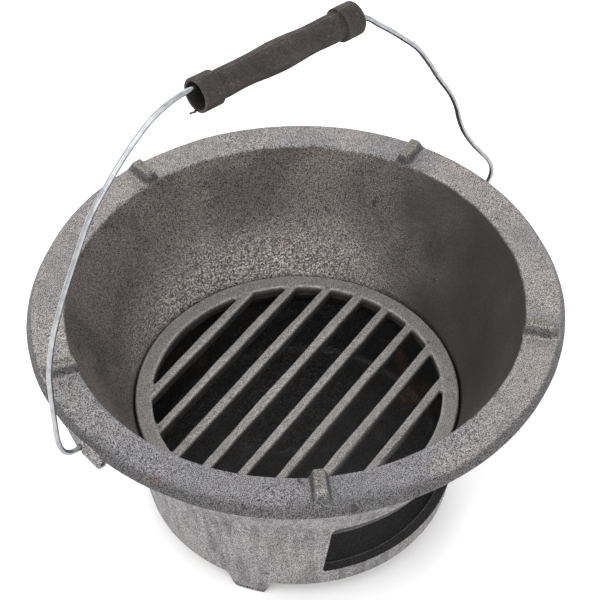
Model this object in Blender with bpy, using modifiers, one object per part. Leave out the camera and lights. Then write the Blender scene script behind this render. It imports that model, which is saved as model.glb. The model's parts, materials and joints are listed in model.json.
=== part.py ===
"""Portable cast-iron charcoal stove: cast body, loose fire grate, wire bail and hollow grip.

Metres, +Z up. The origin is the middle of the stove's base, on the plane its three feet stand on.
The ash vent faces -Y and the bail swings about a line along X that runs through the two ears.
"""

import math

import bmesh
import bpy
from mathutils import Matrix, Vector

# ---- Driving dimensions -------------------------------------------------------------------------
STOVE_HEIGHT = 0.142            # feet to the flat top of the rim flange
FLANGE_RADIUS = 0.135           # lower, widest edge of the rim flange
FLANGE_FLARE = 0.0027           # the flange's side leans out by this much from top to bottom
FLANGE_THICKNESS = 0.0054
MOUTH_RADIUS = 0.1155           # fire bowl at the rim
BOWL_SLOPE = 0.40               # how far the bowl's wall runs in for each metre of depth
WALL = 0.0052                   # casting thickness, measured level
SEAT_DEPTH = 0.0710             # top of the fire grate below the rim
FOOT_DROP = 0.0115              # feet below the drum's lower edge
DRUM_BASE_RADIUS = 0.0832
DRUM_SLOPE = 0.152              # the drum widens upwards
FLOOR_THICKNESS = 0.0045
BASE_RING_INNER = 0.0655        # the floor's underside is raised inside this radius
BASE_RECESS = 0.0015
CHAMBER_CORNER = 0.0040         # round between the ash chamber's floor and wall
THROAT_RADIUS = 0.0790          # opening under the grate's seat
THROAT_THICKNESS = 0.0048
POCKET_CLEARANCE = 0.0014       # round the grate at its seat
MOUTH_BLEND = 0.0360            # the bowl's straight cone starts this far below the rim
FLANGE_NECK = 0.0060            # the wall thickens over this height under the flange
TURN_STEPS = 96                 # round the casting
TOOL_STEPS = 101                # round the rings that trim the feet and the vent

GRATE_RADIUS = 0.0858
GRATE_THICKNESS = 0.0080
GRATE_RING_WIDTH = 0.0085
GRATE_DRAFT = 0.0006
BAR_COUNT = 8
BAR_PITCH = 0.01775
BAR_TOP_WIDTH = 0.0052
BAR_BOTTOM_WIDTH = 0.0036
BAR_OFFSET = 0.0011             # the bars' middle lies this far off the grate's centre
BAR_TURN = math.radians(14.6)   # the bars' direction from the bail's axis
BAR_CHAMFER = 0.0007
GRATE_GAP = 0.0003              # grate above its seat

LUG_COUNT = 5
LUG_HEIGHT = 0.0078
LUG_BASE_WIDTH = 0.0094
LUG_TOP_WIDTH = 0.0046
LUG_FIRST_ANGLE = math.radians(90)
LUG_ROUND = 0.0011
LUG_CREST_RADIUS = 0.1284        # beyond it the lug's end slopes down to the flange's edge

FOOT_COUNT = 3
FOOT_TOP_WIDTH = 0.0250
FOOT_BOTTOM_WIDTH = 0.0160
FOOT_DEPTH = 0.0120
FOOT_CORNER = 0.0022
FOOT_FIRST_ANGLE = math.radians(90)

VENT_WIDTH = 0.0930
VENT_HEIGHT = 0.0435
VENT_TOP_DEPTH = 0.0740         # below the rim
VENT_CORNER = 0.0030
VENT_ROOF_DROP = 0.0112         # its roof falls inwards to clear the grate's seat

HINGE_DEPTH = 0.0090            # bail's axis below the rim
WIRE_RADIUS = 0.0013
EAR_CLEARANCE = 0.0004          # between the hook and its hole, all round
EAR_BARREL_RADIUS = 0.0031
EAR_BARREL_START = 0.0021
EAR_BARREL_LENGTH = 0.0128
EAR_BARREL_X = 0.1328
EAR_BLOCK_INNER = 0.1150
EAR_BLOCK_OUTER = 0.1342
EAR_BLOCK_OUTLINE = (            # along the flange's edge, and up from the bail's axis
    (-0.0108, 0.0051), (-0.0098, 0.0028), (-0.0044, -0.0036), (-0.0030, -0.0043),
    (0.0018, -0.0043), (0.0028, -0.0034), (0.0028, 0.0051),
)
EAR_DIMPLE_RADIUS = 0.0017      # blind hole in the barrel's outer end
EAR_DIMPLE_DEPTH = 0.0050
HOOK_TIP = 0.1200               # how far in the hooks' tips stand from the middle

GRIP_CENTRE = Vector((-0.0074, 0.0, 0.2963))
GRIP_LENGTH = 0.0917
GRIP_TILT = math.radians(3.15)  # its left end rides higher on the hand-bent wire
GRIP_COLLAR_RADIUS = 0.0080
GRIP_COLLAR_LENGTH = 0.0102
GRIP_END_RADIUS = 0.0065
GRIP_MIDDLE_RADIUS = 0.0071
GRIP_BORE = 0.0051
GRIP_MOUTH_BORE = 0.0062
GRIP_MOUTH_DEPTH = 0.0080
GRIP_STATIONS = 10              # along its bulging middle
GRIP_STEPS = 40

HINGE_HEIGHT = STOVE_HEIGHT - HINGE_DEPTH
DRUM_BASE_HEIGHT = FOOT_DROP
SEAT_HEIGHT = STOVE_HEIGHT - SEAT_DEPTH - GRATE_THICKNESS - GRATE_GAP
POCKET_RADIUS = GRATE_RADIUS + POCKET_CLEARANCE
VENT_SILL_HEIGHT = STOVE_HEIGHT - VENT_TOP_DEPTH - VENT_HEIGHT

# The hand-bent wire's route as it leaves the grip on each side: points (x, height above the rim).
LEFT_LEG = (
    (-0.0590, 0.1617), (-0.0655, 0.1610), (-0.0722, 0.1592), (-0.0789, 0.1560),
    (-0.0908, 0.1471), (-0.1031, 0.1352), (-0.1126, 0.1243), (-0.1200, 0.1110),
    (-0.1258, 0.0996), (-0.1316, 0.0879), (-0.1388, 0.0705), (-0.1438, 0.0508),
    (-0.1452, 0.0303), (-0.1456, 0.0160), (-0.1457, 0.0060), (-0.1449, -0.0005),
    (-0.1432, -0.0052), (-0.1404, -0.0080), (-0.1376, -0.0089),
)
RIGHT_LEG = (
    (0.0463, 0.1475), (0.0535, 0.1405), (0.0606, 0.1336), (0.0693, 0.1246),
    (0.0768, 0.1166), (0.0811, 0.1112), (0.0885, 0.0992), (0.0961, 0.0859),
    (0.1047, 0.0720), (0.1096, 0.0613), (0.1124, 0.0519), (0.1164, 0.0418),
    (0.1233, 0.0297), (0.1319, 0.0172), (0.1377, 0.0091), (0.1410, 0.0010),
    (0.1404, -0.0050), (0.1378, -0.0082),
)


# ---- Scene and collections ----------------------------------------------------------------------
def clear_scene():
    """Remove every object of the open scene."""
    for item in list(bpy.data.objects):
        bpy.data.objects.remove(item, do_unlink=True)


def new_collection(name):
    """Make a collection under the scene's own."""
    collection = bpy.data.collections.new(name)
    bpy.context.scene.collection.children.link(collection)
    return collection


clear_scene()
PARTS = new_collection("charcoal_stove")
TOOLS = new_collection("cutters")


# ---- Small modelling helpers --------------------------------------------------------------------
def add_object(name, data, collection, matrix=None):
    """Put mesh or curve data into a collection as a named object."""
    item = bpy.data.objects.new(name, data)
    collection.objects.link(item)
    if matrix is not None:
        item.matrix_world = matrix
    if collection is TOOLS:
        item.hide_render = True
        item.display_type = "WIRE"
    return item


def shade_round(item, angle=40.0):
    """Smooth shading with sharp edges where faces meet steeply."""
    item.data.shade_smooth()
    item.data.set_sharp_from_angle(angle=math.radians(angle))


def arc(centre_r, centre_z, radius, start, end, count=4):
    """Points of a round stretch of a profile, angles in degrees from +r towards +z."""
    points = []
    for step in range(count + 1):
        angle = math.radians(start + (end - start) * step / count)
        points.append((centre_r + radius * math.cos(angle), centre_z + radius * math.sin(angle)))
    return points


def turned(name, profile, collection, closed=False, steps=TURN_STEPS):
    """Turn a profile of (radius, height) points about Z with a Screw modifier."""
    mesh = bpy.data.meshes.new(name)
    edges = [(i, i + 1) for i in range(len(profile) - 1)]
    if closed:
        edges.append((len(profile) - 1, 0))
    mesh.from_pydata([(r, 0.0, z) for r, z in profile], edges, [])
    item = add_object(name, mesh, collection)
    screw = item.modifiers.new("turn", "SCREW")
    screw.steps = steps
    screw.render_steps = steps
    screw.use_merge_vertices = True
    screw.merge_threshold = 0.00001
    return item


def solid_from_curve(guide, name, collection):
    """Make a closed mesh object of a curve object with caps, and remove the curve."""
    bpy.context.view_layer.update()
    graph = bpy.context.evaluated_depsgraph_get()
    mesh = bpy.data.meshes.new_from_object(guide.evaluated_get(graph))
    work = bmesh.new()
    work.from_mesh(mesh)
    bmesh.ops.remove_doubles(work, verts=work.verts, dist=0.00001)
    work.to_mesh(mesh)
    work.free()
    matrix = guide.matrix_world.copy()
    bpy.data.objects.remove(guide, do_unlink=True)
    return add_object(name, mesh, collection, matrix)


def plate(name, outline, thickness, matrix):
    """A flat outline in (x, y), drawn along its own Z by thickness, placed by matrix."""
    curve = bpy.data.curves.new(name + "_outline", "CURVE")
    curve.dimensions = "2D"
    curve.fill_mode = "BOTH"
    curve.extrude = thickness / 2
    spline = curve.splines.new("POLY")
    spline.points.add(len(outline) - 1)
    for point, (x, y) in zip(spline.points, outline):
        point.co = (x, y, 0.0, 1.0)
    spline.use_cyclic_u = True
    guide = add_object(name + "_guide", curve, TOOLS, matrix)
    return solid_from_curve(guide, name, TOOLS)


def block(name, low, high, collection=TOOLS):
    """A box between two corners."""
    mesh = bpy.data.meshes.new(name)
    work = bmesh.new()
    bmesh.ops.create_cube(work, size=1.0)
    size = Vector(high) - Vector(low)
    middle = (Vector(high) + Vector(low)) / 2
    bmesh.ops.scale(work, vec=size, verts=work.verts)
    bmesh.ops.translate(work, vec=middle, verts=work.verts)
    work.to_mesh(mesh)
    work.free()
    return add_object(name, mesh, collection)


def rod(name, start, end, radius, sides=24):
    """A round rod from start to end."""
    start, end = Vector(start), Vector(end)
    mesh = bpy.data.meshes.new(name)
    work = bmesh.new()
    bmesh.ops.create_cone(
        work, cap_ends=True, segments=sides, radius1=radius, radius2=radius,
        depth=(end - start).length,
    )
    work.to_mesh(mesh)
    work.free()
    turn = Vector((0, 0, 1)).rotation_difference(end - start).to_matrix().to_4x4()
    return add_object(name, mesh, TOOLS, Matrix.Translation((start + end) / 2) @ turn)


def round_edges(item, width, segments=2, angle=35.0):
    """Round an object's steep edges."""
    bevel = item.modifiers.new("round", "BEVEL")
    bevel.width = width
    bevel.segments = segments
    bevel.limit_method = "ANGLE"
    bevel.angle_limit = math.radians(angle)


def combine(item, tool, operation):
    """Join, cut or intersect an object with a tool by an exact Boolean modifier."""
    boolean = item.modifiers.new(operation.lower() + "_" + tool.name, "BOOLEAN")
    boolean.operation = operation
    boolean.solver = "EXACT"
    boolean.object = tool


def radial(angle, radius, height):
    """Frame at an angle round Z: its local X runs sideways, Y up and Z outwards."""
    out = Vector((math.cos(angle), math.sin(angle), 0.0))
    up = Vector((0.0, 0.0, 1.0))
    side = up.cross(out)
    matrix = Matrix((side, up, out)).transposed().to_4x4()
    matrix.translation = out * radius + up * height
    return matrix


def finish(name, colour, roughness, metallic):
    """A plain Principled material."""
    material = bpy.data.materials.new(name)
    material.use_nodes = True
    shader = material.node_tree.nodes["Principled BSDF"]
    shader.inputs["Base Color"].default_value = (*colour, 1.0)
    shader.inputs["Roughness"].default_value = roughness
    shader.inputs["Metallic"].default_value = metallic
    return material


# ---- The cast body ------------------------------------------------------------------------------
def drum_radius(height):
    """Outside radius of the drum at a height above the ground."""
    return DRUM_BASE_RADIUS + DRUM_SLOPE * (height - DRUM_BASE_HEIGHT)


def bowl_radius(height):
    """Inside radius of the conical fire bowl at a height above the ground."""
    return MOUTH_RADIUS - BOWL_SLOPE * (STOVE_HEIGHT - height)


def body_profile():
    """Section of the casting: over the floor, up the inside, across the rim, down the outside."""
    floor = DRUM_BASE_HEIGHT + BASE_RECESS + FLOOR_THICKNESS
    chamber_top = SEAT_HEIGHT - THROAT_THICKNESS
    pocket_top = STOVE_HEIGHT - (MOUTH_RADIUS - POCKET_RADIUS) / BOWL_SLOPE
    join = (MOUTH_RADIUS + WALL - DRUM_BASE_RADIUS + DRUM_SLOPE * DRUM_BASE_HEIGHT
            - BOWL_SLOPE * STOVE_HEIGHT) / (DRUM_SLOPE - BOWL_SLOPE)
    under = STOVE_HEIGHT - FLANGE_THICKNESS
    neck = under - FLANGE_NECK
    blend = STOVE_HEIGHT - MOUTH_BLEND
    corner = CHAMBER_CORNER
    profile = [(0.0, floor)]
    profile += arc(drum_radius(floor) - WALL - corner, floor + corner, corner, -90, 0, 3)
    profile += [(drum_radius(chamber_top - 0.005) - WALL, chamber_top - 0.0050)]
    profile += [(THROAT_RADIUS + 0.0010, chamber_top)]
    profile += [(THROAT_RADIUS, SEAT_HEIGHT)]
    profile += [(POCKET_RADIUS - 0.0006, SEAT_HEIGHT)]
    profile += [(POCKET_RADIUS, pocket_top)]
    profile += [(bowl_radius(blend), blend)]
    profile += arc(MOUTH_RADIUS + 0.0012, STOVE_HEIGHT - 0.0014, 0.0014, 165, 90, 3)
    profile += arc(FLANGE_RADIUS - FLANGE_FLARE - 0.0010, STOVE_HEIGHT - 0.0010, 0.0010, 90, 20, 3)
    profile += arc(FLANGE_RADIUS - 0.0007, under + 0.0007, 0.0007, 0, -90, 2)
    profile += [(MOUTH_RADIUS + 0.0090, under - 0.0006)]
    profile += [(MOUTH_RADIUS + WALL - BOWL_SLOPE * (STOVE_HEIGHT - neck) + 0.0010, neck)]
    profile += [(drum_radius(join), join)]
    profile += arc(drum_radius(DRUM_BASE_HEIGHT) - 0.0014, DRUM_BASE_HEIGHT + 0.0014, 0.0014, 0, -90, 3)
    profile += [(BASE_RING_INNER, DRUM_BASE_HEIGHT)]
    profile += [(BASE_RING_INNER - 0.0015, DRUM_BASE_HEIGHT + BASE_RECESS)]
    profile += [(0.0, DRUM_BASE_HEIGHT + BASE_RECESS)]
    return profile


def add_lugs(body):
    """Pot rests: ribs with sloping sides and a sloping outer end that cross the flange."""
    inner = MOUTH_RADIUS - 0.0002
    outer = FLANGE_RADIUS - FLANGE_FLARE - 0.0006
    sink = 0.0030
    above = STOVE_HEIGHT + LUG_HEIGHT + 0.0010
    profile = [
        (outer + 0.0002, STOVE_HEIGHT + 0.0006), (outer + 0.0002, STOVE_HEIGHT - sink - 0.0010),
        (inner - 0.0100, STOVE_HEIGHT - sink - 0.0010), (inner - 0.0100, above),
        (LUG_CREST_RADIUS, above),
    ]
    ring = turned("lug_ring_tool", profile, TOOLS, closed=True, steps=TOOL_STEPS)
    for index in range(LUG_COUNT):
        angle = LUG_FIRST_ANGLE + index * 2 * math.pi / LUG_COUNT
        outline = [
            (-LUG_BASE_WIDTH / 2, -sink), (LUG_BASE_WIDTH / 2, -sink),
            (LUG_BASE_WIDTH / 2, 0.0004), (LUG_TOP_WIDTH / 2, LUG_HEIGHT),
            (-LUG_TOP_WIDTH / 2, LUG_HEIGHT), (-LUG_BASE_WIDTH / 2, 0.0004),
        ]
        matrix = radial(angle, (inner + outer) / 2, STOVE_HEIGHT)
        lug = plate(f"lug_tool_{index + 1}", outline, outer - inner, matrix)
        round_edges(lug, LUG_ROUND)
        combine(lug, ring, "INTERSECT")
        combine(body, lug, "UNION")


def add_feet(body):
    """Feet: tapering toes below the drum's edge that carry on its outer surface."""
    sink = 0.0020
    toe = drum_radius(0.0)
    outer = drum_radius(DRUM_BASE_HEIGHT + sink) - 0.0002
    profile = [
        (toe - 0.0008, 0.0), (toe - FOOT_DEPTH, 0.0),
        (toe - FOOT_DEPTH - 0.0010, DRUM_BASE_HEIGHT + sink),
        (outer, DRUM_BASE_HEIGHT + sink), (toe, 0.0010),
    ]
    ring = turned("foot_ring_tool", profile, TOOLS, closed=True, steps=TOOL_STEPS)
    for index in range(FOOT_COUNT):
        angle = FOOT_FIRST_ANGLE + index * 2 * math.pi / FOOT_COUNT
        top, bottom = FOOT_TOP_WIDTH / 2, FOOT_BOTTOM_WIDTH / 2
        outline = [(-top, DRUM_BASE_HEIGHT + 0.0040)]
        outline += arc(-bottom + FOOT_CORNER, FOOT_CORNER, FOOT_CORNER, 190, 270, 4)
        outline += arc(bottom - FOOT_CORNER, FOOT_CORNER, FOOT_CORNER, -90, -10, 4)
        outline += [(top, DRUM_BASE_HEIGHT + 0.0040)]
        foot = plate(f"foot_tool_{index + 1}", outline, 0.0400, radial(angle, 0.0760, 0.0))
        combine(foot, ring, "INTERSECT")
        combine(body, foot, "UNION")


def add_ears(body):
    """Ears: a wedge under the flange's edge that holds the hook, and a short barrel beside it."""
    for index, turn in enumerate((math.pi, 0.0)):
        matrix = Matrix.Rotation(turn, 4, "Z")
        top = STOVE_HEIGHT - FLANGE_THICKNESS + 0.0015
        barrel_end = EAR_BARREL_START + EAR_BARREL_LENGTH
        barrel = rod(
            f"ear_barrel_tool_{index + 1}",
            matrix @ Vector((EAR_BARREL_X, EAR_BARREL_START, HINGE_HEIGHT)),
            matrix @ Vector((EAR_BARREL_X, barrel_end, HINGE_HEIGHT)),
            EAR_BARREL_RADIUS,
        )
        round_edges(barrel, 0.0006)
        saddle = block(
            f"ear_saddle_tool_{index + 1}",
            (EAR_BARREL_X - 0.0024, EAR_BARREL_START + 0.0013, HINGE_HEIGHT),
            (EAR_BARREL_X + 0.0010, barrel_end - 0.0013, top),
        )
        saddle.matrix_world = matrix
        holder = plate(
            f"ear_block_tool_{index + 1}", EAR_BLOCK_OUTLINE, EAR_BLOCK_OUTER - EAR_BLOCK_INNER,
            radial(turn, (EAR_BLOCK_INNER + EAR_BLOCK_OUTER) / 2, HINGE_HEIGHT),
        )
        round_edges(holder, 0.0006)
        bore = rod(
            f"ear_bore_tool_{index + 1}",
            matrix @ Vector((HOOK_TIP - 0.0015, 0.0, HINGE_HEIGHT)),
            matrix @ Vector((EAR_BLOCK_OUTER + 0.0040, 0.0, HINGE_HEIGHT)),
            WIRE_RADIUS + EAR_CLEARANCE,
        )
        dimple = rod(
            f"ear_dimple_tool_{index + 1}",
            matrix @ Vector((EAR_BARREL_X, barrel_end - EAR_DIMPLE_DEPTH, HINGE_HEIGHT)),
            matrix @ Vector((EAR_BARREL_X, barrel_end + EAR_DIMPLE_DEPTH, HINGE_HEIGHT)),
            EAR_DIMPLE_RADIUS,
        )
        combine(body, barrel, "UNION")
        combine(body, saddle, "UNION")
        combine(body, holder, "UNION")
        combine(body, bore, "DIFFERENCE")
        combine(body, dimple, "DIFFERENCE")


def cut_vent(body):
    """Ash vent: a wide window with upright jambs whose roof falls inwards under the seat."""
    sill = VENT_SILL_HEIGHT
    roof = sill + VENT_HEIGHT
    outer = drum_radius(roof)
    profile = [
        (0.1200, roof + 0.0100), (0.1200, sill - 0.0100), (0.0640, sill - 0.0100),
        (0.0640, roof - VENT_ROOF_DROP),
        (outer - WALL - 0.0016, roof - VENT_ROOF_DROP),
        (outer + 0.0002, roof), (outer + 0.0100, roof + 0.0100),
    ]
    ring = turned("vent_ring_tool", profile, TOOLS, closed=True, steps=TOOL_STEPS)
    window = block(
        "vent_tool", (-VENT_WIDTH / 2, -0.1150, sill), (VENT_WIDTH / 2, -0.0500, roof),
    )
    round_edges(window, VENT_CORNER, 3)
    combine(window, ring, "INTERSECT")
    combine(body, window, "DIFFERENCE")


def make_body():
    """The one-piece casting: bowl, rim flange, drum, floor, feet, ears and pot rests."""
    body = turned("stove_body", body_profile(), PARTS)
    add_lugs(body)
    add_feet(body)
    add_ears(body)
    cut_vent(body)
    shade_round(body)
    body.data.materials.append(finish("cast_iron", (0.16, 0.15, 0.14), 0.62, 0.55))
    return body


# ---- The fire grate -----------------------------------------------------------------------------
def make_grate():
    """Loose round grate: a ring with parallel bars, dropped into the bowl's seat."""
    top = STOVE_HEIGHT - SEAT_DEPTH
    bottom = top - GRATE_THICKNESS
    chamfer = BAR_CHAMFER
    inner = GRATE_RADIUS - GRATE_RING_WIDTH
    profile = [
        (inner, top), (GRATE_RADIUS - 0.0008, top), (GRATE_RADIUS, top - 0.0008),
        (GRATE_RADIUS - GRATE_DRAFT, bottom), (inner + GRATE_DRAFT, bottom),
    ]
    grate = turned("fire_grate", profile, PARTS, closed=True)
    for index in range(BAR_COUNT):
        offset = (index - (BAR_COUNT - 1) / 2) * BAR_PITCH + BAR_OFFSET
        reach = GRATE_RADIUS - GRATE_RING_WIDTH * 0.55
        length = 2 * math.sqrt(reach ** 2 - offset ** 2)
        half_top, half_bottom = BAR_TOP_WIDTH / 2, BAR_BOTTOM_WIDTH / 2
        outline = [
            (-half_bottom, bottom + 0.0002), (half_bottom, bottom + 0.0002),
            (half_top, top - chamfer - 0.0002), (half_top - chamfer, top - 0.0002),
            (-half_top + chamfer, top - 0.0002), (-half_top, top - chamfer - 0.0002),
        ]
        matrix = radial(BAR_TURN, 0.0, 0.0)
        matrix = Matrix.Translation(matrix.to_3x3() @ Vector((offset, 0.0, 0.0))) @ matrix
        bar = plate(f"bar_tool_{index + 1}", outline, length, matrix)
        combine(grate, bar, "UNION")
    shade_round(grate)
    grate.data.materials.append(finish("grate_iron", (0.20, 0.19, 0.18), 0.6, 0.5))
    return grate


# ---- The bail and its grip ----------------------------------------------------------------------
def smooth_route(points, samples):
    """Points of a centripetal Catmull-Rom curve through the given points."""
    points = [Vector(p) for p in points]
    ends = [points[0] * 2 - points[1]] + points + [points[-1] * 2 - points[-2]]
    route = []
    for a, b, c, d in zip(ends, ends[1:], ends[2:], ends[3:]):
        knots = [0.0]
        for first, second in ((a, b), (b, c), (c, d)):
            knots.append(knots[-1] + math.sqrt((second - first).length))
        t0, t1, t2, t3 = knots
        for step in range(samples):
            t = t1 + (t2 - t1) * step / samples
            ab = a.lerp(b, (t - t0) / (t1 - t0))
            bc = b.lerp(c, (t - t1) / (t2 - t1))
            cd = c.lerp(d, (t - t2) / (t3 - t2))
            abc = ab.lerp(bc, (t - t0) / (t2 - t0))
            bcd = bc.lerp(cd, (t - t1) / (t3 - t1))
            route.append(abc.lerp(bcd, (t - t1) / (t2 - t1)))
    route.append(points[-1])
    return route


def grip_axis_point(along, lift):
    """A point of the bail's plane, from the grip's middle along its axis and up from it."""
    direction = Vector((math.cos(GRIP_TILT), 0.0, -math.sin(GRIP_TILT)))
    upward = Vector((math.sin(GRIP_TILT), 0.0, math.cos(GRIP_TILT)))
    return GRIP_CENTRE + direction * along + upward * lift


def bail_route():
    """The wire's middle line from the left hook's tip, through the grip, to the right hook's tip."""
    def above_rim(point):
        return Vector((point[0], 0.0, STOVE_HEIGHT + point[1]))

    axis = -HINGE_DEPTH
    left = [above_rim(p) for p in ((-HOOK_TIP, axis), (-0.1270, axis), (-0.1345, axis - 0.0001))]
    left += [above_rim(p) for p in reversed(LEFT_LEG)]
    inside = [grip_axis_point(-0.0440, 0.0041), grip_axis_point(-0.0280, 0.0030)]
    inside += [grip_axis_point(0.0270, 0.0028), grip_axis_point(0.0430, 0.0018)]
    right = [above_rim(p) for p in RIGHT_LEG]
    right += [above_rim(p) for p in ((0.1345, axis - 0.0001), (0.1270, axis), (HOOK_TIP, axis))]
    return smooth_route(left + inside + right, 3)


def make_bail():
    """Bent steel wire that hooks into the ears, with its origin on the hinge line."""
    origin = Vector((0.0, 0.0, HINGE_HEIGHT))
    curve = bpy.data.curves.new("bail_wire_line", "CURVE")
    curve.dimensions = "3D"
    curve.bevel_depth = WIRE_RADIUS
    curve.bevel_resolution = 2
    curve.use_fill_caps = True
    route = bail_route()
    spline = curve.splines.new("POLY")
    spline.points.add(len(route) - 1)
    for point, place in zip(spline.points, route):
        point.co = (*(place - origin), 1.0)
    bail = add_object("bail_wire", curve, PARTS, Matrix.Translation(origin))
    curve.materials.append(finish("galvanised_wire", (0.62, 0.63, 0.64), 0.32, 1.0))
    return bail


def grip_profile():
    """Section of the hollow grip about its own axis: outside down, bore back up."""
    half = GRIP_LENGTH / 2
    collar = half - GRIP_COLLAR_LENGTH
    swell = GRIP_MIDDLE_RADIUS - GRIP_END_RADIUS
    profile = arc(GRIP_COLLAR_RADIUS - 0.0008, half - 0.0008, 0.0008, 90, 0, 2)
    profile += [(GRIP_COLLAR_RADIUS, collar + 0.0004), (GRIP_COLLAR_RADIUS - 0.0004, collar)]
    for index in range(GRIP_STATIONS + 1):
        height = collar - 2 * collar * index / GRIP_STATIONS
        bulge = math.cos(math.pi / 2 * height / collar) ** 2
        profile.append((GRIP_END_RADIUS + swell * bulge, height))
    profile += [(GRIP_COLLAR_RADIUS - 0.0004, -collar), (GRIP_COLLAR_RADIUS, -collar - 0.0004)]
    profile += arc(GRIP_COLLAR_RADIUS - 0.0008, -half + 0.0008, 0.0008, 0, -90, 2)
    profile += [(GRIP_MOUTH_BORE, -half), (GRIP_MOUTH_BORE, -half + GRIP_MOUTH_DEPTH)]
    profile += [(GRIP_BORE, -half + GRIP_MOUTH_DEPTH + 0.0010)]
    profile += [(GRIP_BORE, half - GRIP_MOUTH_DEPTH - 0.0010)]
    profile += [(GRIP_MOUTH_BORE, half - GRIP_MOUTH_DEPTH), (GRIP_MOUTH_BORE, half)]
    return profile


def make_grip(bail):
    """Hollow moulded grip that hangs on the wire, with its origin on its own axis."""
    grip = turned("bail_grip", grip_profile(), PARTS, closed=True, steps=GRIP_STEPS)
    grip.parent = bail
    grip.location = GRIP_CENTRE - Vector((0.0, 0.0, HINGE_HEIGHT))
    grip.rotation_euler = (0.0, math.radians(90) + GRIP_TILT, 0.0)
    shade_round(grip)
    grip.data.materials.append(finish("moulded_grip", (0.055, 0.048, 0.044), 0.6, 0.0))
    return grip


make_body()
make_grate()
make_grip(make_bail())
bpy.context.view_layer.update()
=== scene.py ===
"""Cast-iron charcoal stove: its visible pieces, finishes, light and camera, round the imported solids.

Metres, +Z up. The stove stands on z = 0 with its ash vent towards -Y and its bail hinged along X.
Heights are measured down from the rim or up from the ground, as each field says.
"""
import json
import logging
import math
from dataclasses import dataclass, field
from enum import Enum

import bmesh
import bpy
import numpy as np
from mathutils import Matrix, Vector


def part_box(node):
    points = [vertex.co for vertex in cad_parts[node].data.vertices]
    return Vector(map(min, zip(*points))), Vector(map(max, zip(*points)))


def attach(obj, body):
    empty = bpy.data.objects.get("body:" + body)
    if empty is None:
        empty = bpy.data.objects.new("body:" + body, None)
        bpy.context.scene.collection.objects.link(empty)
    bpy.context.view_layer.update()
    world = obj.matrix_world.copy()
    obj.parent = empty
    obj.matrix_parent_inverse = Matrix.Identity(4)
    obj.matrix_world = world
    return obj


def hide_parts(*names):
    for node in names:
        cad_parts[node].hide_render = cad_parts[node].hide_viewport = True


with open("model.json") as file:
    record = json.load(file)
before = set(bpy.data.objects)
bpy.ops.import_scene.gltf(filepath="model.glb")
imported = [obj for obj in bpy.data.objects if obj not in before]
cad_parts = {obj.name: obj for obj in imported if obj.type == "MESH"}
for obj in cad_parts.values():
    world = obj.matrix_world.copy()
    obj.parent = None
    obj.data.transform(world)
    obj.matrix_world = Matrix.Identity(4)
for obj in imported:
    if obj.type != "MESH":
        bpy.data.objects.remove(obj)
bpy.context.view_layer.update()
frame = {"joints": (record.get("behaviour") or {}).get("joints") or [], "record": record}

logging.basicConfig(level=logging.INFO, format="%(levelname)s %(message)s")
LOG = logging.getLogger("charcoal_stove")

Array = np.ndarray
Point = tuple[float, float, float]
Colour = tuple[float, float, float]
TAU = 2.0 * math.pi
EAST, NORTH, UP = np.eye(3)


class Body(Enum):
    """The rigid bodies that pieces ride on."""

    STOVE = "stove"
    GRATE = "grate"
    BAIL = "bail"
    GRIP = "grip"


class Slot(Enum):
    """The record's material slots."""

    CASTING = "cast_iron_body"
    GRATE = "cast_iron_grate"
    WIRE = "galvanised_wire"
    GRIP = "moulded_grip"


# ---- Numbers on arrays --------------------------------------------------------------------------
def smooth_step(low: float, high: float, value: Array) -> Array:
    """Ease from 0 at low to 1 at high: 3t^2 - 2t^3 of the clamped share t.

    Args:
        low: Where the result is 0.
        high: Where the result is 1; it may be below low.
        value: Numbers to ease.

    Returns:
        The eased numbers.
    """
    share = np.clip((value - low) / (high - low), 0.0, 1.0)
    return share * share * (3.0 - 2.0 * share)


def lattice_value(cells: Array, seed: int) -> Array:
    """Repeatable number from -1 to 1 for each whole-number cell: an integer hash of its corner.

    Args:
        cells: Cell corners, shape (n, 3), whole numbers.
        seed: Picks one of many unrelated lattices.

    Returns:
        One number for each cell, shape (n,).
    """
    x, y, z = (cells[:, axis].astype(np.int64) for axis in range(3))
    mixed = (x * 374761393 + y * 668265263 + z * 2147483647 + seed * 974634777) & 0xFFFFFFFF
    mixed = ((mixed ^ (mixed >> 13)) * 1274126177) & 0xFFFFFFFF
    mixed = ((mixed ^ (mixed >> 16)) * 2246822519) & 0xFFFFFFFF
    return ((mixed ^ (mixed >> 15)) & 0xFFFFFF) / float(0x7FFFFF) - 1.0


def value_noise(points: Array, wavelength: float, seed: int) -> Array:
    """Smooth noise from -1 to 1: lattice values eased together along the three axes.

    Args:
        points: Places in metres, shape (n, 3).
        wavelength: Size of a lattice cell in metres.
        seed: Picks the lattice.

    Returns:
        One number for each place, shape (n,).
    """
    scaled = points / wavelength + 0.37 * seed
    corner = np.floor(scaled)
    share = scaled - corner
    share = share * share * (3.0 - 2.0 * share)
    total = np.zeros(len(points))
    for offset in np.ndindex(2, 2, 2):
        step = np.array(offset)
        weight = np.prod(np.where(step, share, 1.0 - share), axis=1)
        total += weight * lattice_value(corner + step, seed)
    return total


def layered_noise(points: Array, wavelength: float, octaves: int, seed: int) -> Array:
    """Sum of noises, each with half the wavelength and half the strength of the one before.

    Args:
        points: Places in metres, shape (n, 3).
        wavelength: The widest noise's cell size in metres.
        octaves: How many noises are summed.
        seed: Picks the lattices.

    Returns:
        One number for each place, about -1 to 1.
    """
    total = np.zeros(len(points))
    for octave in range(octaves):
        total += value_noise(points, wavelength / 2**octave, seed + 11 * octave) / 2**octave
    return total / (2.0 - 0.5 ** (octaves - 1))


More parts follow.
